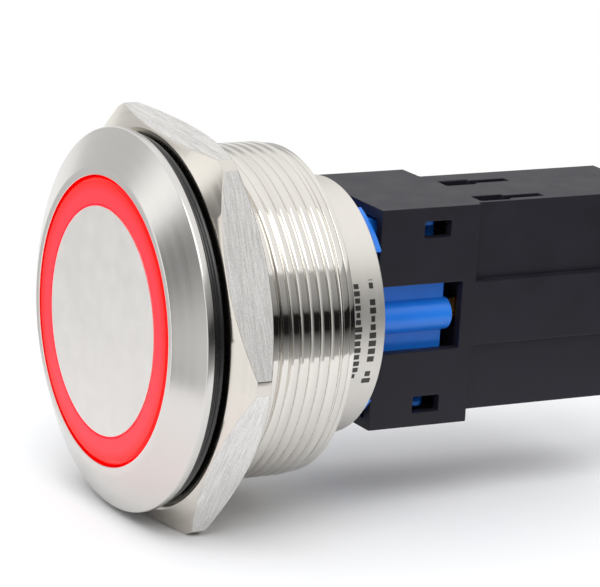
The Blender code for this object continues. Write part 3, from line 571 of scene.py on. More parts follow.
def printed_rows_group():
    """Two rows of plain dashes of uneven length round the Y axis, as a mask."""
    tree, _, result = new_group("printed_rows", {}, {"Mask": "NodeSocketFloat"})
    _, (x, y, z) = object_axes(tree)
    calc = calculator(tree)
    angle = calc("DEGREES", calc("ARCTAN2", x, z))
    rows = None
    for row, (middle, degrees) in enumerate(PRINT_ROWS):
        cell = calc("DIVIDE", angle, degrees)
        gap = calc("GREATER_THAN", calc("FRACT", cell), PRINT_GAP)
        chance = add_node(tree, "ShaderNodeTexWhiteNoise", noise_dimensions="1D")
        wire(tree, (calc("ADD", calc("FLOOR", cell), 40.0 * row + 0.5), chance.inputs["W"]))
        printed = calc("GREATER_THAN", chance.outputs["Value"], PRINT_MISSING)
        half_height = calc("MULTIPLY", calc("ADD", chance.outputs["Value"], 0.35), 0.32 * MM)
        in_row = calc("LESS_THAN", calc("ABSOLUTE", calc("SUBTRACT", y, middle)), half_height)
        dashes = calc("MULTIPLY", calc("MULTIPLY", gap, printed), in_row)
        rows = dashes if rows is None else calc("MAXIMUM", rows, dashes)
    in_arc = calc("COMPARE", angle, PRINT_MIDDLE, PRINT_HALF_ARC)
    wire(tree, (calc("MULTIPLY", rows, in_arc), result.inputs["Mask"]))
    return tree


def marked_tail():
    """Turned steel with two rows of dark dashes printed on its side."""
    material = turned_metal("tail_steel", (0.71, 0.685, 0.64), (0.77, 0.745, 0.70), (0.42, 0.5),
                            depth=0.001 * MM)
    tree = material.node_tree
    base = tree.nodes["Principled BSDF"].inputs["Base Color"]
    mask = use_group(tree, printed_rows_group()).outputs["Mask"]
    wire(tree, (mix_colours(tree, mask, base.links[0].from_socket, PRINT_INK), base))
    return material


def milled_flats():
    """Nut flats: milled lines under a fine bright grain."""
    material, tree, shader = start_material("nut_flats", metallic=1.0)
    marks = use_group(tree, MILLING, {"Lines per mm": 7.0, "Breaks per mm": 0.35})
    grain = use_group(tree, GRAIN, {"Grains per mm": 7.0, "Blotches per mm": 1.0})
    calc = calculator(tree)
    both = calc("ADD", calc("MULTIPLY", marks.outputs["Height"], 0.6),
                calc("MULTIPLY", grain.outputs["Height"], 0.4))
    colour_from(tree, shader, both, (0.60, 0.585, 0.565), (0.98, 0.97, 0.95), 3.0)
    roughness_from(tree, shader, marks.outputs["Shade"], 0.34, 0.5)
    bump_from(tree, shader, both, 0.03 * MM)
    return material


def lit_red():
    """Clear red moulding lit from behind, paler towards its inner edge."""
    material, tree, shader = start_material("lit_red", roughness=0.25, specular=0.2)
    _, (x, _, z) = object_axes(tree)
    across = add_node(tree, "ShaderNodeMapRange", {"From Min": RING_BORE_R, "From Max": RING_R})
    glow = add_node(tree, "ShaderNodeValToRGB")
    for stop, place_at, colour in zip(glow.color_ramp.elements, (0.45, 0.85),
                                      ((1.0, 0.03, 0.055, 1), (1.0, 0.0, 0.0, 1))):
        stop.position = place_at
        stop.color = colour
    wire(tree, (axis_distance(calculator(tree), x, z), across.inputs["Value"]),
         (across.outputs[0], glow.inputs["Fac"]), (glow.outputs["Color"], shader.inputs["Emission Color"]),
         ((0.5, 0.0, 0.0, 1), shader.inputs["Base Color"]), (0.95, shader.inputs["Emission Strength"]))
    return material


def make_materials():
    """Every finish of the button, by name."""
    made = [
        turned_metal("satin_steel", (0.63, 0.615, 0.59), (0.655, 0.64, 0.615), (0.20, 0.24),
                     depth=0.0002 * MM),
        turned_metal("thread_steel", (0.64, 0.615, 0.575), (0.75, 0.725, 0.68), (0.05, 0.09), rings=5.0,
                     depth=0.0005 * MM),
        marked_tail(),
        turned_metal("polished_steel", (0.62, 0.585, 0.53), (0.70, 0.665, 0.61), (0.12, 0.2)),
        grained("blasted_cap", (0.72, 0.705, 0.68), (0.80, 0.785, 0.76), (0.5, 0.6), grains=9.0,
                blotches=0.5, depth=0.006 * MM, metallic=1.0),
        milled_flats(),
        grained("seal_rubber", (0.006, 0.006, 0.006), (0.014, 0.014, 0.014), (0.22, 0.34), coat=0.3),
        grained("black_moulding", (0.009, 0.008, 0.014), (0.016, 0.014, 0.023), (0.40, 0.50), grains=10.0,
                depth=0.003 * MM, specular=0.34),
        grained("blue_moulding", (0.013, 0.19, 0.80), (0.02, 0.25, 0.93), (0.28, 0.4), grains=8.0,
                depth=0.002 * MM),
        grained("white_moulding", (0.70, 0.70, 0.66), (0.82, 0.82, 0.79), (0.35, 0.48), grains=8.0,
                depth=0.002 * MM),
        grained("brass_strip", (0.86, 0.56, 0.17), (0.96, 0.68, 0.24), (0.2, 0.34), grains=5.0,
                depth=0.002 * MM, metallic=1.0),
        grained("copper_strip", (0.78, 0.42, 0.26), (0.90, 0.54, 0.36), (0.24, 0.38), grains=5.0,
                depth=0.002 * MM, metallic=1.0),
        grained("spring_wire", (0.55, 0.54, 0.52), (0.72, 0.71, 0.69), (0.22, 0.34), grains=9.0,
                depth=0.001 * MM, metallic=1.0),
        grained("board_mask", (0.008, 0.11, 0.035), (0.014, 0.19, 0.07), (0.3, 0.45), grains=3.0,
                blotches=1.2, depth=0.01 * MM),
        grained("lead_sleeve", (0.012, 0.012, 0.012), (0.03, 0.03, 0.03), (0.35, 0.5)),
        lit_red(),
    ]
    return {material.name: material for material in made}


FINISH = make_materials()


# ---- barrel -----------------------------------------------------------------------------------------


def thread_ridge():
    """One ridge wound from the undercut behind the head to past the thread's end."""
    half = PITCH / 2 - 0.03 * MM
    crest = 0.26 * MM
    edge = 0.03 * MM
    start = -0.3 * MM
    section = [(ROOT_R - 0.25 * MM, start - half), (ROOT_R + 0.02 * MM, start - half),
               (THREAD_R - edge, start - crest - edge), (THREAD_R, start - crest + edge),
               (THREAD_R, start + crest - edge), (THREAD_R - edge, start + crest + edge),
               (ROOT_R + 0.02 * MM, start + half), (ROOT_R - 0.25 * MM, start + half)]
    obj = draw("thread_ridge", [(0, y, radius) for radius, y in section])
    close_wire(obj, len(section))
    leave_edit()
    return screwed(obj, PITCH, turns=16, steps=120)


def barrel_housing():
    """Head, threaded barrel and plain tail in one turned piece."""
    groove_r = TAIL_BORE_R + 0.4 * MM
    outline = [(BORE_R, FRONT_Y, 0.1 * MM), (RIM_R, FRONT_Y, 0.08 * MM), (HEAD_R, -0.65 * MM, 0.12 * MM),
               (HEAD_R, 0, 0.12 * MM), (ROOT_R, 0), (ROOT_R, 13.6 * MM),
               (14.88 * MM, 13.66 * MM, 0.03 * MM), (14.88 * MM, 14.22 * MM, 0.05 * MM),
               (14.72 * MM, 14.28 * MM), (14.82 * MM, 14.34 * MM, 0.03 * MM),
               (14.82 * MM, THREAD_END, 0.07 * MM), (TAIL_R, THREAD_END), (TAIL_R, BARREL_END, 0.2 * MM),
               (TAIL_BORE_R, BARREL_END, 0.08 * MM), (TAIL_BORE_R, GROOVE_REAR), (groove_r, GROOVE_REAR),
               (groove_r, GROOVE_FRONT), (TAIL_BORE_R, GROOVE_FRONT), (TAIL_BORE_R, FLOOR_Y),
               (BORE_R, FLOOR_Y)]
    obj = turned("barrel_housing_look", outline)
    ridge = thread_ridge()
    limits = [(ROOT_R - 0.5 * MM, 0.55 * MM), (ROOT_R + 0.1 * MM, 0.55 * MM),
              (THREAD_R + 0.3 * MM, 0.95 * MM), (THREAD_R + 0.3 * MM, 13.5 * MM),
              (ROOT_R - 0.5 * MM, 13.5 * MM)]
    combine(ridge, turned("thread_limits", limits, 144), "INTERSECT")
    join(obj, ridge)
    paint(obj, FINISH["satin_steel"], FINISH["thread_steel"], FINISH["tail_steel"])
    paint_faces(obj, 1, lambda face: 0.1 * MM < face.center.y < THREAD_END and
                math.hypot(face.center.x, face.center.z) > ROOT_R - 0.6 * MM)
    paint_faces(obj, 2, lambda face: face.center.y > THREAD_END - 0.01 * MM)
    return place(shade(obj, 25), "barrel", "turned_steel", "barrel_housing")


def panel_seal():
    """Rubber ring with a rounded ridge at each face."""
    outline = [(15.2 * MM, 0.2 * MM), (16.1 * MM, 0.2 * MM), (16.45 * MM, 0.34 * MM, 0.12 * MM),
               (16.45 * MM, 0.5 * MM, 0.12 * MM), (16.15 * MM, 0.72 * MM, 0.15 * MM),
               (16.45 * MM, 0.94 * MM, 0.12 * MM), (16.45 * MM, 1.12 * MM, 0.12 * MM),
               (16.1 * MM, 1.25 * MM), (15.2 * MM, 1.25 * MM)]
    obj = turned("panel_seal_look", outline)
    return finish(obj, "seal_rubber", "barrel", "rubber", "panel_seal", 60)


def hex_nut():
    """Hexagon nut with turned corners on both faces."""
    bpy.ops.object.select_all(action="DESELECT")
    middle = (NUT_FRONT + NUT_REAR) / 2
    bpy.ops.mesh.primitive_cylinder_add(vertices=6, radius=NUT_HALF_FLATS / math.cos(math.pi / 6),
                                        depth=NUT_REAR - NUT_FRONT + MM, location=(0, middle, 0),
                                        rotation=(math.pi / 2, 0, 0))
    obj = named("hex_nut_look")
    edit(obj, "SELECT")
    turn_to_place(obj)
    leave_edit()
    slope = (NUT_CORNER_R - NUT_FACE_R) * math.tan(math.radians(30))
    bore = THREAD_R + 0.2 * MM
    outline = [(bore + 0.5 * MM, NUT_FRONT), (NUT_FACE_R, NUT_FRONT), (NUT_CORNER_R, NUT_FRONT + slope),
               (NUT_CORNER_R, NUT_REAR - slope), (NUT_FACE_R, NUT_REAR), (bore + 0.5 * MM, NUT_REAR),
               (bore, NUT_REAR - 0.5 * MM), (bore, NUT_FRONT + 0.5 * MM)]
    combine(obj, turned("nut_limits", outline, 240), "INTERSECT")
    soften(obj, 0.06 * MM, 2, 22)
    paint(obj, FINISH["polished_steel"], FINISH["nut_flats"])
    paint_faces(obj, 1, lambda face: abs(face.normal.y) < 0.05 and
                math.hypot(face.center.x, face.center.z) > 16.5 * MM and face.area > 4 * MM * MM)
    return place(shade(obj, 20), "nut", "turned_steel", "hex_nut")


def turn_to_place(obj):
    """Turns the new hexagon so that its first flat's normal is NUT_TURN from +Z towards +X."""
    corner = max(obj.data.vertices, key=lambda vert: vert.co.z)
    now = math.atan2(corner.co.x, corner.co.z)
    wanted = NUT_TURN - math.radians(30)
    bpy.ops.transform.rotate(value=-(wanted - now), orient_axis="Y", center_override=(0, 0, 0))


# ---- light, cap and press action ---------------------------------------------------------------------


def light_ring():
    outline = [(RING_BORE_R, FRONT_Y, 0.06 * MM), (RING_R - 0.25 * MM, FRONT_Y, 0.06 * MM),
               (RING_R, FRONT_Y + 0.2 * MM, 0.06 * MM), (RING_R, RING_REAR), (RING_BORE_R, RING_REAR)]
    obj = turned("light_ring_look", outline)
    return finish(obj, "lit_red", "barrel", "red_light", "light_ring")


def actuator_cap():
    inner = CAP_R - 1.8 * MM
    boss_bore, boss = 2.5 * MM, 3.35 * MM
    boss_end = CAP_INSIDE_Y + 2.0 * MM
    groove_y, groove_r = CAP_INSIDE_Y + 1.2 * MM, CAP_R - 0.74 * MM
    outline = [(0, FRONT_Y), (CAP_R, FRONT_Y, 0.14 * MM), (CAP_R, groove_y - 0.52 * MM, 0.05 * MM),
               (groove_r, groove_y - 0.52 * MM), (groove_r, groove_y + 0.52 * MM),
               (CAP_R, groove_y + 0.52 * MM, 0.05 * MM), (CAP_R, CAP_SKIRT_END, 0.2 * MM),
               (inner, CAP_SKIRT_END, 0.1 * MM), (inner, CAP_INSIDE_Y, 0.3 * MM),
               (boss, CAP_INSIDE_Y, 0.2 * MM), (boss, boss_end, 0.1 * MM), (boss_bore, boss_end, 0.1 * MM),
               (boss_bore, CAP_INSIDE_Y), (0, CAP_INSIDE_Y)]
    obj = turned("actuator_cap_look", outline)
    return finish(obj, "blasted_cap", "press", "cap_steel", "actuator_cap")


# ---- switch base and plug ----------------------------------------------------------------------------


def switch_base():
    """Blue moulding: a disc in the barrel, a flange, and a block with a rounded rib in each side."""
    groove_r = BASE_R - 0.4 * MM
    outline = [(0, BASE_FRONT), (BASE_R, BASE_FRONT, 0.2 * MM), (BASE_R, GROOVE_FRONT),
               (groove_r, GROOVE_FRONT), (groove_r, GROOVE_REAR), (BASE_R, GROOVE_REAR),
               (BASE_R, FLANGE_FRONT),
               (10.8 * MM, FLANGE_FRONT, 0.15 * MM), (10.8 * MM, FLANGE_REAR, 0.15 * MM), (0, FLANGE_REAR)]
    obj = turned("switch_base_look", outline, 96)
    flange_y = (FLANGE_FRONT, 22 * MM)
    for side in (-1, 1):
        beyond_x = sorted((side * 4.6 * MM, side * 12 * MM))
        beyond_z = sorted((side * 8.7 * MM, side * 12 * MM))
        cut(obj, block("flange_cut", beyond_x, flange_y, about(0, 6.8 * MM)))
        cut(obj, block("flange_cut", about(0, 4.2 * MM), flange_y, beyond_z))
    join(obj, block("rear_block", about(0, 4.8 * MM), (19.5 * MM, 28.2 * MM), about(0, 8.9 * MM)))
    join(obj, block("ledges", about(0, 5.6 * MM), (19.5 * MM, 29.2 * MM), about(0, 4.2 * MM)))
    for side in (-1, 1):
        join(obj, rod("rib", 1.5 * MM, (19.5 * MM, 29.55 * MM), (side * 5.3 * MM, -0.15 * MM), 64))
        post = sorted((side * 5.65 * MM, side * 6.55 * MM))
        join(obj, block("post", post, (AXLE_Y - 0.95 * MM, BASE_FRONT + MM), about(0, 1.2 * MM)))
        for up in (-1, 1):
            section = [(3.8, 8.7), (5.8, 8.7), (5.8, 8.25), (4.8, 7.7), (3.8, 7.7)]
            section = [(side * x * MM, up * z * MM) for x, z in section]
            join(obj, prism("nose", section, (26.15 * MM, 27.45 * MM)))
    cut(obj, rod_x("axle_bore", 0.5 * MM, about(0, 7.5 * MM), (AXLE_Y, 0)))
    for x, z in PIN_PLACES.values():
        cut(obj, block("slot", about(x, 0.45 * MM), (14.6 * MM, 30.5 * MM), about(z, 1.2 * MM)))
    flatten_fans(obj)
    soften(obj, 0.1 * MM)
    return finish(obj, "blue_moulding", "barrel", "blue_plastic", "switch_base")


def plug_housing():
    """Black moulding: a collar over the switch block and a ribbed rear body with a cavity for each pin."""
    above = PLUG_Z + 0.5 * MM
    obj = block("plug_housing_look", about(0, PLUG_X), (PLUG_FRONT, COLLAR_END), (-PLUG_Z, above))
    side, under = 6.4 * MM, -9.25 * MM
    rear_outline = [(side, above), (side, under), (-side, under), (-side, PLUG_Z - 1.6 * MM),
                    (-4.1 * MM, PLUG_Z - 1.6 * MM), (-4.1 * MM, above)]
    join(obj, prism("rear_body", rear_outline, (PLUG_FLOOR + 0.3 * MM, PLUG_REAR)))
    join(obj, block("side_rib", about(0, PLUG_X), (PLUG_FLOOR + 0.3 * MM, PLUG_REAR), about(0, 3.0 * MM)))
    cut(obj, block("top_plane", about(0, 8 * MM), (PLUG_FRONT - MM, PLUG_REAR + MM), (PLUG_Z, 12 * MM)))
    cut(obj, block("pocket", about(0, 6.0 * MM), (PLUG_FRONT - MM, PLUG_FLOOR), about(0, 9.2 * MM)))
    cut(obj, block("notch", about(0, 8 * MM), (PLUG_FRONT - MM, PLUG_FLOOR - 0.3 * MM), about(0, 3.1 * MM)))
    for up in (-1, 1):
        cut(obj, block("window", about(0, 8 * MM), (25.95 * MM, 28.65 * MM),
                       about(up * 8.15 * MM, 0.75 * MM)))
    for x in (-1.0 * MM, 5.0 * MM):
        cut(obj, block("slot", about(x, 0.9 * MM), (32.3 * MM, 35.5 * MM), (8.9 * MM, 11 * MM)))
        cut(obj, block("slot", about(x, 0.5 * MM), (35.0 * MM, 39.3 * MM), (9.0 * MM, 11 * MM)))
    for x, z in PIN_PLACES.values():
        cut(obj, block("cavity", about(x, 0.9 * MM), (PLUG_FLOOR - MM, PLUG_REAR + MM),
                       about(z, 1.65 * MM)))
    flatten_fans(obj)
    soften(obj, 0.12 * MM)
    return finish(obj, "black_moulding", "plug", "black_plastic", "plug_housing")


# ---- pieces inside the barrel and the plug -----------------------------------------------------------

STACK_R = 12.65 * MM
LEAD_PLACE = (9.25 * MM, 2.5 * MM)     # x and z of the lead on the +X side; the other is opposite
POLE_X = 2.6 * MM
SEAT_Z = 3.2 * MM
ROCKER_TILT = math.radians(4.8)
CONTACT_Z = 6.2 * MM


def lead_place(side):
    return side * LEAD_PLACE[0], side * LEAD_PLACE[1]


def snap_ring():
    """Flat ring with a gap, which keeps the switch base in the barrel."""
    inner, outer = 10.1 * MM, 10.7 * MM
    obj = turned("base_snap_ring_look", [(inner, 18.2 * MM, 0.1 * MM), (outer, 18.2 * MM, 0.1 * MM),
                                         (outer, 19.0 * MM, 0.1 * MM), (inner, 19.0 * MM, 0.1 * MM),
                                         (inner, 18.6 * MM)])
    cut(obj, block("gap", about(0, 1.2 * MM), (17 * MM, 20 * MM), (-12 * MM, -9 * MM)))
    return finish(obj, "spring_wire", "barrel", "spring_steel", "base_snap_ring", 40)


def led_board():
    """Ring board with a hole for each lead and small parts soldered to its rear."""
    inner, rear = 6.0 * MM, BOARD_REAR - 0.15 * MM
    obj = turned("led_board_look", [(inner, BOARD_FRONT, 0.05 * MM), (STACK_R, BOARD_FRONT, 0.05 * MM),
                                    (STACK_R, rear, 0.05 * MM), (inner, rear),
                                    (inner, BOARD_FRONT + 0.4 * MM)])
    for side in (-1, 1):
        cut(obj, rod("lead_hole", 0.45 * MM, (5 * MM, 6.5 * MM), lead_place(side), 24))
        part_z = sorted((side * 7.2 * MM, side * 8.8 * MM))
        join(obj, block("soldered_part", about(0, 0.5 * MM), (5.9 * MM, BOARD_REAR), part_z))
    return finish(obj, "board_mask", "barrel", "board", "led_board")


def led(number):
    """Square light source turned to face its place on the board, with a dish in its front."""
    angle = math.pi / 4 + (number - 1) * math.pi / 2
    x, z = 11.55 * MM * math.sin(angle), 11.55 * MM * math.cos(angle)
    corner = 0.985 * MM
    outline = [(x + corner, z), (x, z + corner), (x - corner, z), (x, z - corner),
               (x + corner / 2, z - corner / 2)]
    obj = prism(f"led_{number}_look", outline, (4.25 * MM, 4.85 * MM))
    cut(obj, rod("dish", 0.5 * MM, (4.0 * MM, 4.4 * MM), (x, z), 32))
    return finish(obj, "white_moulding", "barrel", "white_plastic", f"led_{number}")


def lamp_lead(name, side):
    """Insulated lead that eases inwards between the board and the switch base."""
    outer_x, inner_x = LEAD_PLACE[0], 4.9 * MM
    places = [(side * outer_x, 6.3 * MM, side * LEAD_PLACE[1])]
    steps = 16
    for step in range(steps + 1):
        share = step / steps
        ease = share * share * (3 - 2 * share)
        places.append((side * (outer_x + (inner_x - outer_x) * ease), (11.9 + 3.4 * share) * MM,
                       side * LEAD_PLACE[1]))
    draw(f"{name}_look", places)
    leave_edit()
    bpy.ops.object.convert(target="CURVE")
    curve = bpy.context.object.data
    curve.bevel_depth = 0.35 * MM
    curve.bevel_resolution = 5
    curve.use_fill_caps = True
    bpy.ops.object.convert(target="MESH")
    obj = named(f"{name}_look")
    edit(obj, "SELECT")
    tidy_mesh()
    leave_edit()
    return finish(obj, "lead_sleeve", "barrel", "rubber", name, 50)


def cap_seal():
    """O-ring in the cap's groove."""
    middle, y, tube, sides = 9.83 * MM, 0.05 * MM, 0.42 * MM, 16
    turns = [2 * math.pi * i / sides for i in range(sides)]
    obj = turned("cap_seal_look", [(middle + tube * math.cos(a), y + tube * math.sin(a)) for a in turns])
    return finish(obj, "seal_rubber", "press", "rubber", "cap_seal", 60)


def actuator_stem():
    """Stem with a shoulder that carries the driver, and a grooved neck."""
    shaft, neck, groove, front, end = 2.4 * MM, 1.2 * MM, 0.8 * MM, -0.95 * MM, 9.8 * MM
    outline = [(0, front), (shaft, front, 0.25 * MM), (shaft, 7.95 * MM, 0.15 * MM), (neck, 7.95 * MM),
               (neck, 9.25 * MM), (groove, 9.25 * MM), (groove, 9.7 * MM), (neck, 9.7 * MM), (neck, end),
               (0, end)]
    obj = turned("actuator_stem_look", outline, 96)
    return finish(obj, "white_moulding", "press", "white_plastic", "actuator_stem")


def stem_clip():
    """Open clip in the neck's groove."""
    inner, outer = 0.9 * MM, 1.6 * MM
    outline = [(inner, 9.3 * MM), (outer, 9.3 * MM, 0.05 * MM), (outer, 9.65 * MM, 0.05 * MM),
               (inner, 9.65 * MM), (inner, 9.45 * MM)]
    obj = turned("stem_clip_look", outline, 64)
    cut(obj, block("mouth", about(0, 0.65 * MM), (9 * MM, 10 * MM), (-2 * MM, 0)))
    return finish(obj, "spring_wire", "press", "spring_steel", "stem_clip")


def contact_driver():
    """Plate on the stem's neck, with a seat for each pole's spring."""
    obj = block("contact_driver_look", about(0, 4 * MM), (DRIVER_FRONT, DRIVER_REAR), (-1.8 * MM, 4.3 * MM))
    soften(obj, 0.2 * MM, 3)
    cut(obj, rod("hole", 1.3 * MM, (8 * MM, 9.5 * MM)))
    for side in (-1, 1):
        cut(obj, rod("seat", 0.95 * MM, (9.0 * MM, 9.5 * MM), (side * POLE_X, SEAT_Z), 32))
    return finish(obj, "white_moulding", "press", "white_plastic", "contact_driver")


def stem_guide():
    """Disc round the stem, with a seat for the return spring and a hole for each lead."""
    bore, seat_inner, seat_outer, seat_floor = 2.6 * MM, 3.6 * MM, 5.0 * MM, GUIDE_FRONT + 0.2 * MM
    obj = turned("stem_guide_look", [(bore, GUIDE_FRONT, 0.15 * MM), (seat_inner, GUIDE_FRONT, 0.05 * MM),
                                     (seat_inner, seat_floor), (seat_outer, seat_floor),
                                     (seat_outer, GUIDE_FRONT, 0.05 * MM),
                                     (STACK_R, GUIDE_FRONT, 0.15 * MM), (STACK_R, GUIDE_REAR, 0.15 * MM),
                                     (bore, GUIDE_REAR, 0.15 * MM)])
    for side in (-1, 1):
        cut(obj, rod("lead_hole", 0.55 * MM, (6 * MM, 8.5 * MM), lead_place(side), 32))
    return finish(obj, "blue_moulding", "barrel", "blue_plastic", "stem_guide")


def inner_sleeve():
    """Spacer between the guide and the barrel's inner shoulder."""
    inner, front, rear = 11.15 * MM, 8.15 * MM, 13.3 * MM
    obj = turned("inner_sleeve_look", [(inner, front, 0.15 * MM), (STACK_R, front, 0.2 * MM),
                                       (STACK_R, rear, 0.2 * MM), (inner, rear, 0.15 * MM),
                                       (inner, 10.7 * MM)])
    return finish(obj, "white_moulding", "barrel", "white_plastic", "inner_sleeve")


def return_spring():
    """Coil between the cap and the guide, built at one length; the real spring shortens with the press."""
    front, rear = -0.95 * MM, 6.25 * MM
    obj = coil("return_spring_look", 8.6 * MM, 0.5 * MM, 5, (front, rear))
    finish(obj, "spring_wire", "barrel", "spring_steel", "return_spring", 40)
    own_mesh(obj)


def pole_spring(number, side):
    """Small coil from the driver to a rocker; it takes up the push past the rocker's stop."""
    front, rear = 9.36 * MM, 12.12 * MM
    obj = coil(f"pole_spring_{number}_look", 1.5 * MM, 0.2 * MM, 3, (front, rear), (side * POLE_X, SEAT_Z))
    finish(obj, "spring_wire", "press", "spring_steel", f"pole_spring_{number}", 40)
    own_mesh(obj)


def rocker_axle():
    obj = rod_x("rocker_axle_look", 0.4 * MM, about(0, 6.55 * MM), (AXLE_Y, 0), 32)
    soften(obj, 0.08 * MM)
    return finish(obj, "polished_steel", "barrel", "turned_steel", "rocker_axle")


def contact_rocker(number, side):
    """Changeover strip with an eye on the axle and a rivet at each end, drawn level and then tilted."""
    x = side * POLE_X
    strip_x = about(x, 0.8 * MM)
    obj = block(f"contact_rocker_{number}_look", strip_x, about(AXLE_Y, 0.25 * MM), about(0, 7 * MM))
    soften(obj, 0.08 * MM)
    join(obj, rod_x("eye", 0.95 * MM, about(x, 0.77 * MM), (AXLE_Y, 0), 40))
    cut(obj, rod_x("bore", 0.5 * MM, about(x, MM), (AXLE_Y, 0), 32))
    for up in (-1, 1):
        join(obj, rod("rivet", 0.7 * MM, (AXLE_Y, AXLE_Y + 0.65 * MM), (x, up * CONTACT_Z), 32, 0.55 * MM))
    edit(obj, "SELECT")
    bpy.ops.transform.rotate(value=-ROCKER_TILT, orient_axis="X", center_override=(x, AXLE_Y, 0))
    leave_edit()
    return finish(obj, "copper_strip", f"rocker_{number}", "copper_alloy", f"contact_rocker_{number}")


def terminal(pin, x, z):
    """Flat pin with softened edges; the outer ones carry a round fixed contact."""
    start = {"common": 14.05 * MM, "lamp": 15.8 * MM}.get(pin.split("_")[0], 14.57 * MM)
    obj = block(f"terminal_{pin}_look", about(x, 0.25 * MM), (start, PIN_END), about(z, MM))
    soften(obj, 0.1 * MM, 2)
    if z:
        join(obj, rod("contact", 0.9 * MM, (14.37 * MM, 14.8 * MM), (x, z), 40, 1.1 * MM))
    return finish(obj, "brass_strip", "barrel", "brass", f"terminal_{pin}")


def socket(pin, x, z):
    """Folded box that grips a pin, with its seam on one side and a latch window on the other."""
    start, end = 30.9 * MM, 43.9 * MM
    obj = block(f"socket_{pin}_look", about(x, 0.65 * MM), (start, end), about(z, 1.4 * MM))
    soften(obj, 0.12 * MM, 3)
    cut(obj, block("hollow", about(x, 0.45 * MM), (start - MM, end - 0.4 * MM),
                   about(z, 1.2 * MM)))
    cut(obj, block("seam", (x, x + MM), (start - MM, end - MM), about(z, 0.06 * MM)))
    cut(obj, block("window", (x - MM, x), (35 * MM, 37 * MM), about(z, 0.5 * MM)))
    return finish(obj, "brass_strip", "plug", "brass", f"socket_{pin}")


# ---- floor, light and camera -------------------------------------------------------------------------

FLOOR_R = 65 * MM
FLOOR_MIDDLE_Y = 24 * MM
WORLD_LOW = -0.6    # sine of the lowest elevation that the world's bands are drawn for


def floor(level):
    """A pale round table top."""
    bpy.ops.object.select_all(action="DESELECT")
    bpy.ops.mesh.primitive_circle_add(vertices=128, radius=FLOOR_R, fill_type="NGON",
                                      location=(0, FLOOR_MIDDLE_Y, level))
    obj = named("floor")
    material, tree, shader = start_material("floor_white", roughness=0.9, specular=0.1)
    shader.inputs["Base Color"].default_value = (0.93, 0.935, 0.95, 1)
    paint(obj, material)
    return obj


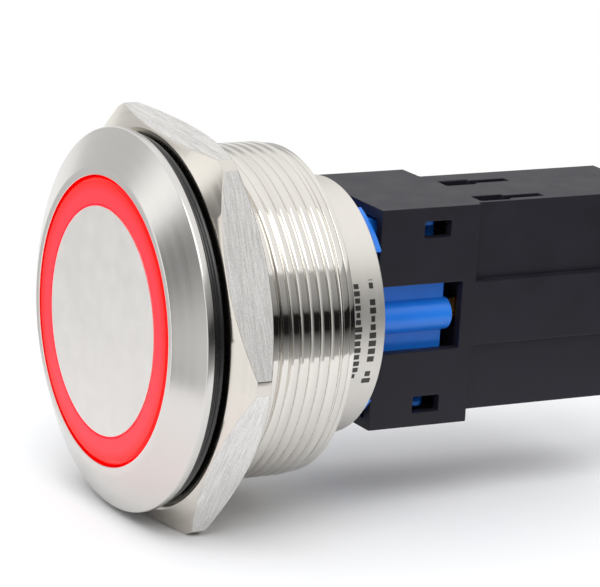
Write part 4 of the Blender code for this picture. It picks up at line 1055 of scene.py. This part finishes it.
def world():
    """A white studio with a dark strip at table height, darkest behind the button on its +X side."""
    scene_world = bpy.data.worlds.new("studio")
    bpy.context.scene.world = scene_world
    scene_world.use_nodes = True
    tree = scene_world.node_tree
    tree.nodes.clear()
    calc = calculator(tree)
    coords = add_node(tree, "ShaderNodeTexCoord")
    split = add_node(tree, "ShaderNodeSeparateXYZ")
    wire(tree, (coords.outputs["Generated"], split.inputs[0]))
    x, y, z = split.outputs
    turn = calc("DEGREES", calc("ARCTAN2", x, calc("MULTIPLY", y, -1.0)))

    def ramp(value, low, high, stops):
        """Greys along a value that runs from low to high."""
        along = add_node(tree, "ShaderNodeMapRange", {"From Min": low, "From Max": high})
        node = add_node(tree, "ShaderNodeValToRGB")
        wire(tree, (value, along.inputs["Value"]), (along.outputs[0], node.inputs["Fac"]))
        band = node.color_ramp
        while len(band.elements) < len(stops):
            band.elements.new(0.5)
        for element, (level, grey) in zip(band.elements, stops):
            element.position = (level - low) / (high - low)
            element.color = (grey, grey, grey, 1)
        return node.outputs["Color"]

    dark_side = ramp(z, WORLD_LOW, 1.0, [(-0.37, 0.7), (-0.33, 0.5), (-0.02, 0.01), (0.165, 0.01),
                                         (0.185, 0.15), (0.3, 0.3), (0.54, 0.45), (0.57, 0.95), (1.0, 1.0)])
    open_top = ramp(z, WORLD_LOW, 1.0, [(-0.44, 0.8), (0.22, 0.8), (0.5, 0.85), (0.8, 1.0)])
    open_wall = ramp(turn, -180.0, 180.0,
                     [(-150, 0.5), (-118, 0.5), (-108, 0.95), (-87, 0.95), (-85, 0.66), (-50, 0.62),
                      (-38, 1.3), (-28, 1.3), (-25, 0.2), (-11, 0.14), (-9, 1.0), (32, 1.05), (50, 0.5)])
    wall_share = ramp(z, WORLD_LOW, 1.0, [(-0.46, 0.0), (-0.44, 1.0), (0.36, 1.0), (0.5, 0.0)])
    open_side = mix_colours(tree, wall_share, open_top, open_wall)
    facing = calc("ADD", calc("MULTIPLY", x, 0.875), calc("MULTIPLY", y, 0.485))
    share = add_node(tree, "ShaderNodeMapRange", {"From Min": -0.1, "From Max": 0.5},
                     interpolation_type="SMOOTHSTEP")
    light = add_node(tree, "ShaderNodeBackground", {"Strength": 1.15})
    plain = add_node(tree, "ShaderNodeBackground", {"Color": (1, 1, 1, 1), "Strength": 1.0})
    path = add_node(tree, "ShaderNodeLightPath")
    choose = add_node(tree, "ShaderNodeMixShader")
    out = add_node(tree, "ShaderNodeOutputWorld")
    wire(tree, (facing, share.inputs["Value"]),
         (mix_colours(tree, share.outputs[0], open_side, dark_side), light.inputs["Color"]),
         (path.outputs["Is Camera Ray"], choose.inputs[0]), (light.outputs[0], choose.inputs[1]),
         (plain.outputs[0], choose.inputs[2]), (choose.outputs[0], out.inputs["Surface"]))


def key_light():
    """A round softbox high at the button's front right, so that the shadow falls behind the plug."""
    towards = Vector((0.46, -0.34, 0.82)).normalized()
    distance = 456 * MM
    bpy.ops.object.select_all(action="DESELECT")
    bpy.ops.object.light_add(type="AREA", location=towards * distance)
    lamp = bpy.context.object
    lamp.name = "key_light"
    lamp.rotation_euler = towards.to_track_quat("Z", "Y").to_euler()
    lamp.data.shape = "DISK"
    lamp.data.size = 0.34
    lamp.data.energy = 0.8
    return lamp


def camera():
    """Looks down the button from its front right, a little above, and tilted to the table's line."""
    back = Vector((0.83896, -0.48109, 0.25435))
    right = Vector((0.48218, 0.87385, 0.06242))
    up = Vector((-0.25229, 0.07027, 0.96510))
    data = bpy.data.cameras.new("camera")
    data.sensor_width = 36
    data.lens = 216.4
    data.clip_start = 0.01
    obj = bpy.data.objects.new("camera", data)
    bpy.context.scene.collection.objects.link(obj)
    place_at = back * 317 * MM + right * 15.35 * MM + up * 2.27 * MM
    matrix = [[right[i], up[i], back[i], place_at[i]] for i in range(3)] + [[0, 0, 0, 1]]
    obj.matrix_world = Matrix(matrix)
    bpy.context.scene.camera = obj
    return obj


# ---- assembly ----------------------------------------------------------------------------------------

barrel_housing()
panel_seal()
hex_nut()
light_ring()
actuator_cap()
switch_base()
plug_housing()
snap_ring()
led_board()
for led_number in (1, 2, 3, 4):
    led(led_number)
lamp_lead("lamp_lead_plus", 1)
lamp_lead("lamp_lead_minus", -1)
cap_seal()
actuator_stem()
stem_clip()
contact_driver()
stem_guide()
inner_sleeve()
return_spring()
rocker_axle()
for pole_number, pole_side in ((1, -1), (2, 1)):
    pole_spring(pole_number, pole_side)
    contact_rocker(pole_number, pole_side)
for pin_name, (pin_x, pin_z) in PIN_PLACES.items():
    terminal(pin_name, pin_x, pin_z)
    socket(pin_name, pin_x, pin_z)
floor(cad_box[0][2])
world()
key_light()
camera()
bpy.context.scene.view_settings.view_transform = "Standard"
